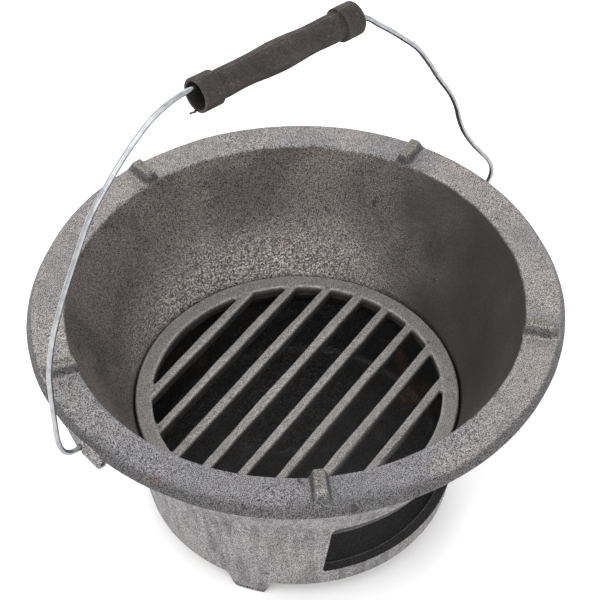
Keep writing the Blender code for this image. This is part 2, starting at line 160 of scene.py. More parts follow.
def spread_angles(count: int, crowded: list[tuple[float, float, float]]) -> Array:
    """Angles round a circle, closer together where the shape needs it.

    The share of angles up to an angle is the running sum of a density, 1 everywhere plus a
    smooth hump at each crowded place, so that columns keep their order and close the circle.

    Args:
        count: How many angles.
        crowded: For each crowded place its angle, half-width and extra density.

    Returns:
        The angles in radians, rising from 0, shape (count,).
    """
    fine = np.linspace(0.0, TAU, 20001)
    density = np.ones_like(fine)
    for centre, half_width, extra in crowded:
        away = np.abs((fine - centre + math.pi) % TAU - math.pi)
        density += extra * smooth_step(1.35 * half_width, 0.95 * half_width, away)
    running = np.concatenate([[0.0], np.cumsum((density[1:] + density[:-1]) / 2.0)])
    wanted = np.arange(count) / count * running[-1]
    return np.interp(wanted, running, fine)


def rounded_path(points: list[tuple[float, float]], radii: list[float], spacing: list[float]) -> Array:
    """Polyline with its corners rounded and its straight stretches divided.

    Each corner is replaced by a quadratic curve that starts and ends one radius from it, and each
    straight stretch is divided evenly by its own spacing.

    Args:
        points: Corners (radius, height), from first to last.
        radii: Rounding at each corner; the first and last are not used.
        spacing: Largest step on the stretch that follows each point.

    Returns:
        The points of the rounded path, shape (m, 2).
    """
    corners = np.array(points, float)
    path = [corners[:1]]
    for index in range(1, len(corners)):
        start, end = corners[index - 1], corners[index]
        length = float(np.linalg.norm(end - start))
        along = (end - start) / length
        lead = radii[index - 1] if index > 1 else 0.0
        last = index == len(corners) - 1
        trail = 0.0 if last else radii[index]
        steps = max(1, math.ceil((length - lead - trail) / spacing[index - 1]))
        shares = np.linspace(0.0, 1.0, steps + 1)[1:, None]
        path.append(start + along * (lead + shares * (length - lead - trail)))
        if not last and trail > 0.0:
            out = corners[index + 1] - end
            leave = end + out / float(np.linalg.norm(out)) * trail
            enter = end - along * trail
            turn = np.linspace(0.0, 1.0, 5)[1:, None]
            path.append((1 - turn) ** 2 * enter + 2 * turn * (1 - turn) * end + turn**2 * leave)
    return np.concatenate(path)


# ---- Meshes -------------------------------------------------------------------------------------
def grid_faces(rows: int, columns: int, close_rows: bool = False, close_columns: bool = True) -> Array:
    """Quads of a grid of points stored row by row.

    Args:
        rows: Points along the profile.
        columns: Points round or across it.
        close_rows: Join the last row to the first.
        close_columns: Join the last column to the first.

    Returns:
        Vertex numbers of the quads, shape (n, 4).
    """
    row = np.arange(rows if close_rows else rows - 1)[:, None]
    column = np.arange(columns if close_columns else columns - 1)[None, :]
    next_row, next_column = (row + 1) % rows, (column + 1) % columns
    corners = (
        row * columns + column,
        row * columns + next_column,
        next_row * columns + next_column,
        next_row * columns + column,
    )
    return np.stack([np.broadcast_to(c, (row.size, column.size)).ravel() for c in corners], axis=1)


def mesh_from_arrays(name: str, points: Array, faces: Array,
                     fans: list[Array] | None = None) -> bpy.types.Mesh:
    """Mesh of quads, with optional fans of triangles.

    Args:
        name: The mesh's name.
        points: Vertex places, shape (n, 3).
        faces: Quads, shape (m, 4).
        fans: Further arrays of triangles, shape (k, 3).

    Returns:
        The mesh.
    """
    polygons = [faces] + list(fans or [])
    loops = np.concatenate([p.ravel() for p in polygons]).astype(np.int32)
    totals = np.concatenate([np.full(len(p), p.shape[1]) for p in polygons]).astype(np.int32)
    starts = np.concatenate([[0], np.cumsum(totals)[:-1]]).astype(np.int32)
    mesh = bpy.data.meshes.new(name)
    mesh.vertices.add(len(points))
    mesh.vertices.foreach_set("co", points.astype(np.float32).ravel())
    mesh.loops.add(len(loops))
    mesh.loops.foreach_set("vertex_index", loops)
    mesh.polygons.add(len(totals))
    mesh.polygons.foreach_set("loop_start", starts)
    mesh.polygons.foreach_set("loop_total", totals)
    mesh.update(calc_edges=True)
    mesh.validate()
    return mesh


def pole_fan(ring: Array, pole: int, flip: bool) -> Array:
    """Triangles that close a ring of vertices with one vertex at a pole.

    Args:
        ring: Vertex numbers round the ring.
        pole: The pole's vertex number.
        flip: Turn the triangles over.

    Returns:
        The triangles, shape (n, 3).
    """
    following = np.roll(ring, -1)
    first, second = (following, ring) if flip else (ring, following)
    return np.stack([first, second, np.full(len(ring), pole)], axis=1)


def new_object(name: str, mesh: bpy.types.Mesh) -> bpy.types.Object:
    """Object at the origin that shows a mesh."""
    item = bpy.data.objects.new(name, mesh)
    bpy.context.scene.collection.objects.link(item)
    return item


def settle(item: bpy.types.Object) -> None:
    """Replace an object's mesh by its own with all modifiers applied."""
    bpy.context.view_layer.update()
    graph = bpy.context.evaluated_depsgraph_get()
    mesh = bpy.data.meshes.new_from_object(item.evaluated_get(graph))
    mesh.name = item.data.name
    item.modifiers.clear()
    old = item.data
    item.data = mesh
    bpy.data.meshes.remove(old)


def point_places(mesh: bpy.types.Mesh) -> Array:
    """Places of a mesh's vertices, shape (n, 3)."""
    places = np.empty(len(mesh.vertices) * 3, np.float32)
    mesh.vertices.foreach_get("co", places)
    return places.reshape(-1, 3).astype(float)


def point_normals(mesh: bpy.types.Mesh) -> Array:
    """Outward normals of a mesh's vertices, shape (n, 3)."""
    normals = np.empty(len(mesh.vertices) * 3, np.float32)
    mesh.vertex_normals.foreach_get("vector", normals)
    return normals.reshape(-1, 3).astype(float)


def move_points(mesh: bpy.types.Mesh, places: Array) -> None:
    """Write new places to a mesh's vertices."""
    mesh.vertices.foreach_set("co", places.astype(np.float32).ravel())
    mesh.update()


def paint(mesh: bpy.types.Mesh, name: str, values: Array) -> None:
    """Store one number for each vertex, for a material to read."""
    attribute = mesh.attributes.get(name) or mesh.attributes.new(name, "FLOAT", "POINT")
    attribute.data.foreach_set("value", values.astype(np.float32))


def edge_pairs(mesh: bpy.types.Mesh) -> Array:
    """Vertex numbers of a mesh's edges, shape (n, 2)."""
    pairs = np.empty(len(mesh.edges) * 2, np.int32)
    mesh.edges.foreach_get("vertices", pairs)
    return pairs.reshape(-1, 2)


def neighbour_mean(values: Array, pairs: Array) -> Array:
    """Mean of the values at each vertex's neighbours.

    Args:
        values: One row for each vertex.
        pairs: The mesh's edges.

    Returns:
        The means, the same shape as values.
    """
    flat = values.reshape(len(values), -1)
    total = np.zeros_like(flat)
    count = np.bincount(pairs.ravel(), minlength=len(flat)).astype(float)
    for channel in range(flat.shape[1]):
        total[:, channel] += np.bincount(pairs[:, 0], flat[pairs[:, 1], channel], len(flat))
        total[:, channel] += np.bincount(pairs[:, 1], flat[pairs[:, 0], channel], len(flat))
    mean = total / np.maximum(count, 1.0)[:, None]
    return mean.reshape(values.shape)


def edge_wear(mesh: bpy.types.Mesh, reach: int, strength: float) -> Array:
    """How far each vertex stands out as an edge, 0 to 1.

    A vertex stands out by the distance from its neighbours' middle to it along its normal. That
    height is spread over the neighbours several times, so that the mark is a few steps wide.

    Args:
        mesh: The finished mesh.
        reach: How many times the mark is spread.
        strength: Marks for each metre of height.

    Returns:
        One number for each vertex.
    """
    places, normals, pairs = point_places(mesh), point_normals(mesh), edge_pairs(mesh)
    height = np.sum((places - neighbour_mean(places, pairs)) * normals, axis=1)
    for _ in range(reach):
        height = (height + neighbour_mean(height, pairs)) / 2.0
    return np.clip(height * strength, 0.0, 1.0)


def relax(mesh: bpy.types.Mesh, rounds: int, share: float) -> None:
    """Even a mesh out: each vertex goes part of the way to its neighbours' middle, then back.

    Args:
        mesh: The mesh to even out.
        rounds: How many pairs of steps.
        share: How far a vertex goes in a step.
    """
    pairs = edge_pairs(mesh)
    places = point_places(mesh)
    for _ in range(rounds):
        places += (neighbour_mean(places, pairs) - places) * share
        places += (neighbour_mean(places, pairs) - places) * -share * 0.85
    move_points(mesh, places)


def smooth_shading(mesh: bpy.types.Mesh, sharp_angle: float) -> None:
    """Shade a mesh smoothly, with a sharp edge where faces meet at more than an angle in degrees."""
    mesh.shade_smooth()
    mesh.set_sharp_from_angle(angle=math.radians(sharp_angle))


def face_outwards(mesh: bpy.types.Mesh) -> None:
    """Turn a closed mesh's faces outwards."""
    work = bmesh.new()
    work.from_mesh(mesh)
    bmesh.ops.recalc_face_normals(work, faces=work.faces)
    work.to_mesh(mesh)
    work.free()


def fuse(name: str, parts: list[bpy.types.Object], cell: float) -> bpy.types.Object:
    """Fuse closed forms that overlap into one skin of small even faces, as one casting.

    Args:
        name: The fused object's name.
        parts: The forms, which are removed.
        cell: Face size in metres.

    Returns:
        The fused object.
    """
    work = bmesh.new()
    for part in parts:
        work.from_mesh(part.data)
        bpy.data.objects.remove(part, do_unlink=True)
    mesh = bpy.data.meshes.new(name)
    work.to_mesh(mesh)
    work.free()
    item = new_object(name, mesh)
    skin = item.modifiers.new("skin", "REMESH")
    skin.mode = "VOXEL"
    skin.voxel_size = cell
    settle(item)
    return item


def cut(item: bpy.types.Object, tool: bpy.types.Object) -> None:
    """Cut a closed tool out of an object and remove the tool."""
    boolean = item.modifiers.new("cut", "BOOLEAN")
    boolean.operation = "DIFFERENCE"
    boolean.solver = "EXACT"
    boolean.object = tool
    settle(item)
    bpy.data.objects.remove(tool, do_unlink=True)


def circle(sides: int) -> Array:
    """Even points round a unit circle, shape (sides, 2)."""
    angle = np.arange(sides) / sides * TAU
    return np.stack([np.cos(angle), np.sin(angle)], axis=1)


def revolved(name: str, profile: Array, columns: int, matrix: Matrix | None = None) -> bpy.types.Object:
    """Closed ring: a closed profile turned about Z. Point = (r cos a, r sin a, z).

    Args:
        name: The object's name.
        profile: Points (radius, height) that run down the outer side, shape (n, 2).
        columns: Steps round the circle.
        matrix: Where the turned form is put.

    Returns:
        The object, with its place in its mesh.
    """
    angle = np.arange(columns) / columns * TAU
    radius, height = profile[:, :1], profile[:, 1:]
    points = np.stack(
        [radius * np.cos(angle), radius * np.sin(angle), np.broadcast_to(height, (len(profile), columns))],
        axis=2,
    ).reshape(-1, 3)
    faces = grid_faces(len(profile), columns, close_rows=True)[:, ::-1]
    mesh = mesh_from_arrays(name, points, faces)
    if matrix is not None:
        mesh.transform(matrix)
    return new_object(name, mesh)


def swept(name: str, path: Array, sections: Array, side: Array, up: Array) -> bpy.types.Object:
    """Closed bar: a section carried along a path, with flat caps.

    Point = path point + side * section x + up * section y, so the section may change on the way.

    Args:
        name: The object's name.
        path: Middle line, shape (rows, 3).
        sections: Section outline at each row, anticlockwise seen against the path, (rows, k, 2).
        side: Unit vector for section x, shape (3,) or (rows, 3).
        up: Unit vector for section y, the same.

    Returns:
        The object.
    """
    rows, count = sections.shape[:2]
    side_rows = np.broadcast_to(side, (rows, 3))[:, None, :]
    up_rows = np.broadcast_to(up, (rows, 3))[:, None, :]
    grid = path[:, None, :] + side_rows * sections[:, :, :1] + up_rows * sections[:, :, 1:]
    points = np.concatenate([grid.reshape(-1, 3), grid[0].mean(0)[None], grid[-1].mean(0)[None]])
    first, last = np.arange(count), np.arange(count) + (rows - 1) * count
    fans = [pole_fan(first, rows * count, True), pole_fan(last, rows * count + 1, False)]
    mesh = mesh_from_arrays(name, points, grid_faces(rows, count), fans)
    face_outwards(mesh)
    return new_object(name, mesh)


def soft_clamp(value: Array, softness: float) -> Array:
    """Clamp to 0..1 with both corners rounded: half of 1 + |v| - |v - 1|, with |x| = sqrt(x^2 + s)."""
    return 0.5 * (1.0 + np.sqrt(value**2 + softness) - np.sqrt((value - 1.0) ** 2 + softness))


def round_the_axis(count: int, first: float) -> list[float]:
    """Angles of evenly spaced features round Z, from the first one."""
    return [first + index * TAU / count for index in range(count)]


def beside(angle: Array, centre: float, radius: Array) -> Array:
    """Sideways distance from the radial line at an angle: r sin(angle - centre), far off behind it."""
    turn = (angle - centre + math.pi) % TAU - math.pi
    return np.where(np.abs(turn) < 0.5, radius * np.sin(turn), 1.0)


# ---- The casting --------------------------------------------------------------------------------
@dataclass
class StoveCasting:
    """One casting: fire bowl, rim flange, pot rests, drum, floor, vent and feet."""

    rim_height: float
    lug_crest: float
    flange_radius: float = 0.1350
    flange_flare: float = 0.0027
    flange_thickness: float = 0.0054
    mouth_radius: float = 0.1155
    bowl_slope: float = 0.40
    wall: float = 0.0052
    seat_depth: float = 0.0793
    throat_radius: float = 0.0790
    throat_thickness: float = 0.0048
    pocket_radius: float = 0.0872
    base_height: float = 0.0115
    base_radius: float = 0.0832
    drum_slope: float = 0.152
    floor_thickness: float = 0.0045
    base_ring_inner: float = 0.0655
    base_recess: float = 0.0015
    lug_count: int = 5
    lug_base_half: float = 0.0047
    lug_top_half: float = 0.0025
    lug_crest_end: float = 0.1284
    foot_count: int = 3
    foot_top_half: float = 0.0125
    foot_bottom_half: float = 0.0080
    foot_inner_radius: float = 0.0690
    foot_band: float = 0.0045
    vent_half_width: float = 0.0465
    vent_depth: float = 0.0740
    vent_height: float = 0.0435
    vent_corner: float = 0.0032
    vent_roof_drop: float = 0.0112
    sheltered_turn: float = math.radians(-34.0)
    scaled_turn: float = math.radians(68.0)
    ground_turn: float = math.radians(-138.0)
    columns: int = 424
    grain_seed: int = 5

    def drum_radius(self, height: float) -> float:
        """Outside radius of the drum at a height: base radius + slope * height above its base."""
        return self.base_radius + self.drum_slope * (height - self.base_height)

    def bowl_radius(self, height: float) -> float:
        """Inside radius of the conical bowl at a height: mouth radius - slope * depth."""
        return self.mouth_radius - self.bowl_slope * (self.rim_height - height)

    def lug_angles(self) -> list[float]:
        """Angles of the pot rests, the first on +Y."""
        return round_the_axis(self.lug_count, math.pi / 2)

    def foot_angles(self) -> list[float]:
        """Angles of the feet, the first on +Y."""
        return round_the_axis(self.foot_count, math.pi / 2)

    def section(self) -> Array:
        """Section (radius, height): over the floor, up the inside, over the rim and down the outside."""
        rim, base = self.rim_height, self.base_height
        floor = base + self.base_recess + self.floor_thickness
        seat = rim - self.seat_depth
        chamber = seat - self.throat_thickness
        shoulder = chamber - 0.0050
        pocket = rim - (self.mouth_radius - self.pocket_radius) / self.bowl_slope
        under = rim - self.flange_thickness
        neck = under - 0.0060
        outer_neck = self.mouth_radius + self.wall - self.bowl_slope * (rim - neck)
        join = (self.mouth_radius + self.wall - self.base_radius + self.drum_slope * base
                - self.bowl_slope * rim) / (self.drum_slope - self.bowl_slope)
        corners = [
            ((0.0, floor), 0.0, 0.0062),
            ((self.drum_radius(floor) - self.wall, floor), 0.0040, 0.0045),
            ((self.drum_radius(shoulder) - self.wall, shoulder), 0.0018, 0.0025),
            ((self.throat_radius + 0.0010, chamber), 0.0012, 0.0020),
            ((self.throat_radius, seat), 0.0010, 0.0022),
            ((self.pocket_radius - 0.0006, seat), 0.0006, 0.0020),
            ((self.pocket_radius, pocket), 0.0014, 0.0024),
            ((self.bowl_radius(rim - 0.0045), rim - 0.0045), 0.0, 0.0008),
            ((self.mouth_radius, rim), 0.0013, 0.0011),
            ((self.flange_radius - self.flange_flare, rim), 0.0010, 0.0009),
            ((self.flange_radius, under), 0.0009, 0.0018),
            ((self.mouth_radius + 0.0090, under - 0.0006), 0.0022, 0.0018),
            ((outer_neck + 0.0010, neck), 0.0030, 0.0030),
            ((self.drum_radius(join), join), 0.0070, 0.0028),
            ((self.drum_radius(base + self.foot_band), base + self.foot_band), 0.0, 0.00056),
            ((self.drum_radius(base), base), 0.0013, 0.0014),
            ((self.base_ring_inner, base), 0.0005, 0.0010),
            ((self.base_ring_inner - 0.0015, base + self.base_recess), 0.0005, 0.0090),
            ((0.0, base + self.base_recess), 0.0, 1.0),
        ]
        points, radii, spacing = (list(column) for column in zip(*corners))
        return rounded_path(points, radii, spacing)

    def lug_height(self, angle: Array, radius: Array) -> Array:
        """Height of the pot rests over the flange.

        Across a rest the height is a share of the crest that falls linearly from its top's edge to
        its foot, with rounded corners. Past the crest's end it falls linearly to the flange's edge.
        """
        crest = self.lug_crest - self.rim_height
        height = np.zeros(np.broadcast(angle, radius).shape)
        inner_end = smooth_step(self.mouth_radius, self.mouth_radius + 0.0028, radius)
        edge = self.flange_radius - self.flange_flare
        outer_end = np.clip((edge - radius) / (edge - self.lug_crest_end), 0.0, 1.0)
        along = (0.90 + 0.10 * inner_end) * soft_clamp(outer_end, 0.06)
        for index, centre in enumerate(self.lug_angles()):
            lean = 0.0004 * math.sin(2.3 * index)
            away = np.abs(beside(angle, centre, radius) - lean)
            share = (self.lug_base_half - away) / (self.lug_base_half - self.lug_top_half)
            height += crest * along * np.clip(soft_clamp(share, 0.012), 0.0, 1.0) * (away < 0.012)
        return height

    def foot_depth(self, angle: Array, radius: Array) -> Array:
        """Depth of the feet below the drum's edge: linear sides between top and bottom widths."""
        depth = np.zeros(np.broadcast(angle, radius).shape)
        for centre in self.foot_angles():
            away = np.abs(beside(angle, centre, radius))
            share = (self.foot_top_half - away) / (self.foot_top_half - self.foot_bottom_half)
            depth += np.clip(soft_clamp(share, 0.006), 0.0, 1.0) * (away < 0.030)
        return depth * self.base_height

    def surface(self) -> tuple[Array, Array]:
        """Grid of the casting before its vent is cut.

        The section is turned about Z. The flange's rows rise by the pot rests' height, the rows at
        the drum's edge sink by the feet's depth and keep the drum's taper, and the flange's edge
        strays a little from a true circle.

        Returns:
            The places, shape (rows * columns, 3), and the section, shape (rows, 2).
        """
        section = self.section()
        crowded = [(a, 0.055, 3.4) for a in self.lug_angles()]
        crowded += [(a, 0.200, 0.6) for a in self.foot_angles()]
        angle = spread_angles(self.columns, crowded)[None, :]
        radius, height = section[:, :1], section[:, 1:]
        rim, under = self.rim_height, self.rim_height - self.flange_thickness
        on_mouth = smooth_step(rim - 0.0040, rim - 0.0001, height) * (radius < 0.1300)
        on_side = np.clip((height - under) / self.flange_thickness, 0.0, 1.0) * (radius >= 0.1300)
        inside = (radius > self.bowl_radius(rim - 0.0050)) & (height > under - 0.0001)
        lift = self.lug_height(angle, np.broadcast_to(radius, (len(section), self.columns)))
        raised = height + lift * (on_mouth + on_side) * inside
        drop = np.clip((self.base_height + self.foot_band - height) / self.foot_band, 0.0, 1.0)
        drop = drop * smooth_step(self.foot_inner_radius - 0.0006, self.foot_inner_radius + 0.0008, radius)
        drop = drop * (height < self.base_height + self.foot_band)
        sink = self.foot_depth(angle, np.broadcast_to(radius, (len(section), self.columns))) * drop
        edge = smooth_step(self.mouth_radius + 0.0040, self.flange_radius - 0.0010, radius)
        circle = np.stack([np.cos(angle), np.sin(angle), np.zeros_like(angle)], axis=2).reshape(-1, 3)
        stray = layered_noise(circle * 0.1, 0.050, 3, 41)[None, :] * 0.0008
        wide = radius + stray * edge - self.drum_slope * sink * (radius > self.base_radius - 0.0010)
        places = np.stack([wide * np.cos(angle), wide * np.sin(angle), raised - sink], axis=2)
        return places.reshape(-1, 3), section

    def build(self) -> bpy.types.Object:
        """Make the casting's mesh, cut the vent, roughen the skin and mark its zones, painted shade among
        them.
        """
        places, section = self.surface()
        rows = len(section)
        faces = grid_faces(rows - 2, self.columns)[:, ::-1]
        ring = np.arange(self.columns)
        inner = places[self.columns:-self.columns]
        poles = np.array([[0.0, 0.0, section[0, 1]], [0.0, 0.0, section[-1, 1]]])
        count = len(inner)
        last = ring + (rows - 3) * self.columns
        fans = [pole_fan(ring, count, False), pole_fan(last, count + 1, True)]
        mesh = mesh_from_arrays("casting", np.concatenate([inner, poles]), faces, fans)
        item = new_object("casting", mesh)
        cut(item, self.vent_tool())
        self.roughen(item.data)
        self.mark_zones(item.data)
        smooth_shading(item.data, 52.0)
        return item

    def vent_tool(self) -> bpy.types.Object:
        """Cutter for the ash vent.

        A rounded rectangle (x, z) is carried inwards through the wall. Each copy lies on a
        cylinder, y = -sqrt(R^2 - x^2), and its roof comes down as R shrinks through the wall.
        """
        half, corner = self.vent_half_width, self.vent_corner
        roof = self.rim_height - self.vent_depth
        sill = roof - self.vent_height
        box = [(-half, sill), (half, sill), (half, roof), (-half, roof)]
        middle = (0.0, sill)
        outline = rounded_path([middle, *box[1:], box[0], middle], [corner] * 6, [0.0030] * 6)[:-1]
        across, up = outline[:, 0], outline[:, 1]
        outer = self.drum_radius(roof)
        shells = np.concatenate([[0.1040], np.arange(outer + 0.0030, 0.0765, -0.0011), [0.0640]])
        fall = smooth_step(outer + 0.0006, outer - self.wall - 0.0008, shells) * self.vent_roof_drop
        high = smooth_step(sill + 0.4 * self.vent_height, roof, up)
        grid = np.stack(
            [
                np.broadcast_to(across, (len(shells), len(across))),
                -np.sqrt(shells[:, None] ** 2 - across[None, :] ** 2),
                up[None, :] - fall[:, None] * high[None, :],
            ],
            axis=2,
        )
        rows, count = grid.shape[:2]
        middles = np.array([[0.0, grid[0, :, 1].min(), (sill + roof) / 2.0],
                            [0.0, grid[-1, :, 1].min(), (sill + roof) / 2.0 - 0.004]])
        fans = [pole_fan(np.arange(count), rows * count, True),
                pole_fan(np.arange(count) + (rows - 1) * count, rows * count + 1, False)]
        mesh = mesh_from_arrays("vent_tool", np.concatenate([grid.reshape(-1, 3), middles]),
                                grid_faces(rows, count), fans)
        face_outwards(mesh)
        return new_object("vent_tool", mesh)

    def roughen(self, mesh: bpy.types.Mesh) -> None:
        """Move the skin along its normals: broad waves, sand lumps and a few scabs in the bowl."""
        places, normals = point_places(mesh), point_normals(mesh)
        radius = np.hypot(places[:, 0], places[:, 1])
        waves = layered_noise(places, 0.048, 2, self.grain_seed) * 0.00034
        lumps = layered_noise(places, 0.0085, 2, self.grain_seed + 3)
        rough = smooth_step(self.rim_height - 0.020, self.rim_height - 0.062, places[:, 2])
        in_bowl = (radius < self.mouth_radius) * (places[:, 2] > self.rim_height - 0.074)
        patch = smooth_step(0.25, 0.75, value_noise(places, 0.030, 77))
        scabs = np.clip(lumps - 0.15, 0.0, 1.0) * patch * in_bowl * 0.0006
        shift = waves + lumps * (0.00010 + 0.00008 * rough * in_bowl) + scabs
        held = smooth_step(0.0, 0.0020, places[:, 2])
        move_points(mesh, places + normals * (shift * held)[:, None])

    def mark_zones(self, mesh: bpy.types.Mesh) -> None:
        """Store which part of the casting each vertex belongs to, and where shade is painted, as shares
        from 0 to 1.
        """
        places, normals = point_places(mesh), point_normals(mesh)
        radius = np.hypot(places[:, 0], places[:, 1])
        depth = self.rim_height - places[:, 2]
        outwards = np.sum(places[:, :2] * normals[:, :2], axis=1) / np.maximum(radius, 1e-6)
        stray = value_noise(places, 0.006, 91) * 0.0006
        bowl = smooth_step(0.0002, 0.0016, depth + stray) * (radius < self.mouth_radius + 0.0016)
        side = smooth_step(-0.0004, 0.0008, depth) * smooth_step(
            self.flange_thickness + 0.0004, self.flange_thickness - 0.0006, depth)
        side = side * smooth_step(self.flange_radius - 0.0040, self.flange_radius - 0.0028, radius)
        margin = smooth_step(self.flange_radius - 0.0085, self.flange_radius - 0.0020, radius + stray * 2.0)
        upright = smooth_step(0.80, 0.50, normals[:, 2])
        # ends: painted shade on the pot rests' upright flanks and end faces, which take the flange side's
        # dark colour.
        ends = upright * smooth_step(0.0004, 0.0016, -depth) * (radius > self.mouth_radius - 0.0010)
        lug = smooth_step(0.0030, 0.0066, -depth) * (1.0 - upright)
        # chamber: painted shade. The ash chamber's walls below the grate's seat are painted near black for
        # the shade inside them.
        chamber = smooth_step(self.seat_depth - 0.0030, self.seat_depth + 0.0010, depth)
        chamber = chamber * (radius < self.throat_radius + 0.0085) * (outwards < 0.5)
        chamber = chamber * (places[:, 2] > self.base_height + self.base_recess + 0.001)
        skin = self.drum_radius(places[:, 2]) - radius
        roof = self.rim_height - self.vent_depth
        # The vent's cut faces through the wall get the same painted shade as the chamber.
        painted_vent_shade = (np.abs(places[:, 0]) < self.vent_half_width + 0.0006) * (places[:, 1] < 0.0)
        painted_vent_shade = painted_vent_shade * (places[:, 2] < roof + 0.0006) * (places[:, 2] > roof - self.vent_height - 0.0006)
        chamber = np.maximum(chamber, painted_vent_shade * smooth_step(0.0006, 0.0014, skin))
        outside = smooth_step(0.2, 0.6, outwards) * smooth_step(0.0060, 0.0080, depth)
        sheltered, scaled = self.bowl_sides(places)
        turned = np.cos(np.arctan2(places[:, 1], places[:, 0]) - self.ground_turn)
        ground = smooth_step(0.20, 0.90, turned + (value_noise(places, 0.040, 58) - 0.5) * 0.6)
        margin = 0.6 * margin * ground * (np.abs(depth) < 0.0010)
        zones = {
            "bowl": bowl * (1.0 - chamber) * (1.0 - outside),
            # The flange edge's own dark tone, plus painted shade on the pot rests' upright faces.
            "flange_side": np.clip(side + ends + margin, 0.0, 1.0),
            "lug": lug,
            # Painted shade in the ash chamber and on the vent's cut faces.
            "chamber": chamber,
            "outside": outside,
            "sheltered": sheltered,
            "scaled": scaled,
            "ground": ground,
            "edge": edge_wear(mesh, 1, 5200.0),
        }
        for name, shares in zones.items():
            paint(mesh, name, shares)

    def bowl_sides(self, places: Array) -> tuple[Array, Array]:
        """Shares of the bowl's smooth dark side and of the scaled band over the grate across from it.

        Each is the cosine of the angle from its own middle, stirred a little and clamped.
        """
        angle = np.arctan2(places[:, 1], places[:, 0])
        depth = self.rim_height - places[:, 2]
        stir = (value_noise(places, 0.026, 63) - 0.5) * 0.22
        sheltered = smooth_step(0.28, 0.92, np.cos(angle - self.sheltered_turn) + stir)
        band = smooth_step(0.022, 0.066, depth + stir * 0.03)
        scaled = band * smooth_step(0.10, 0.70, np.cos(angle - self.scaled_turn) + stir)
        return sheltered, scaled * (1.0 - sheltered)


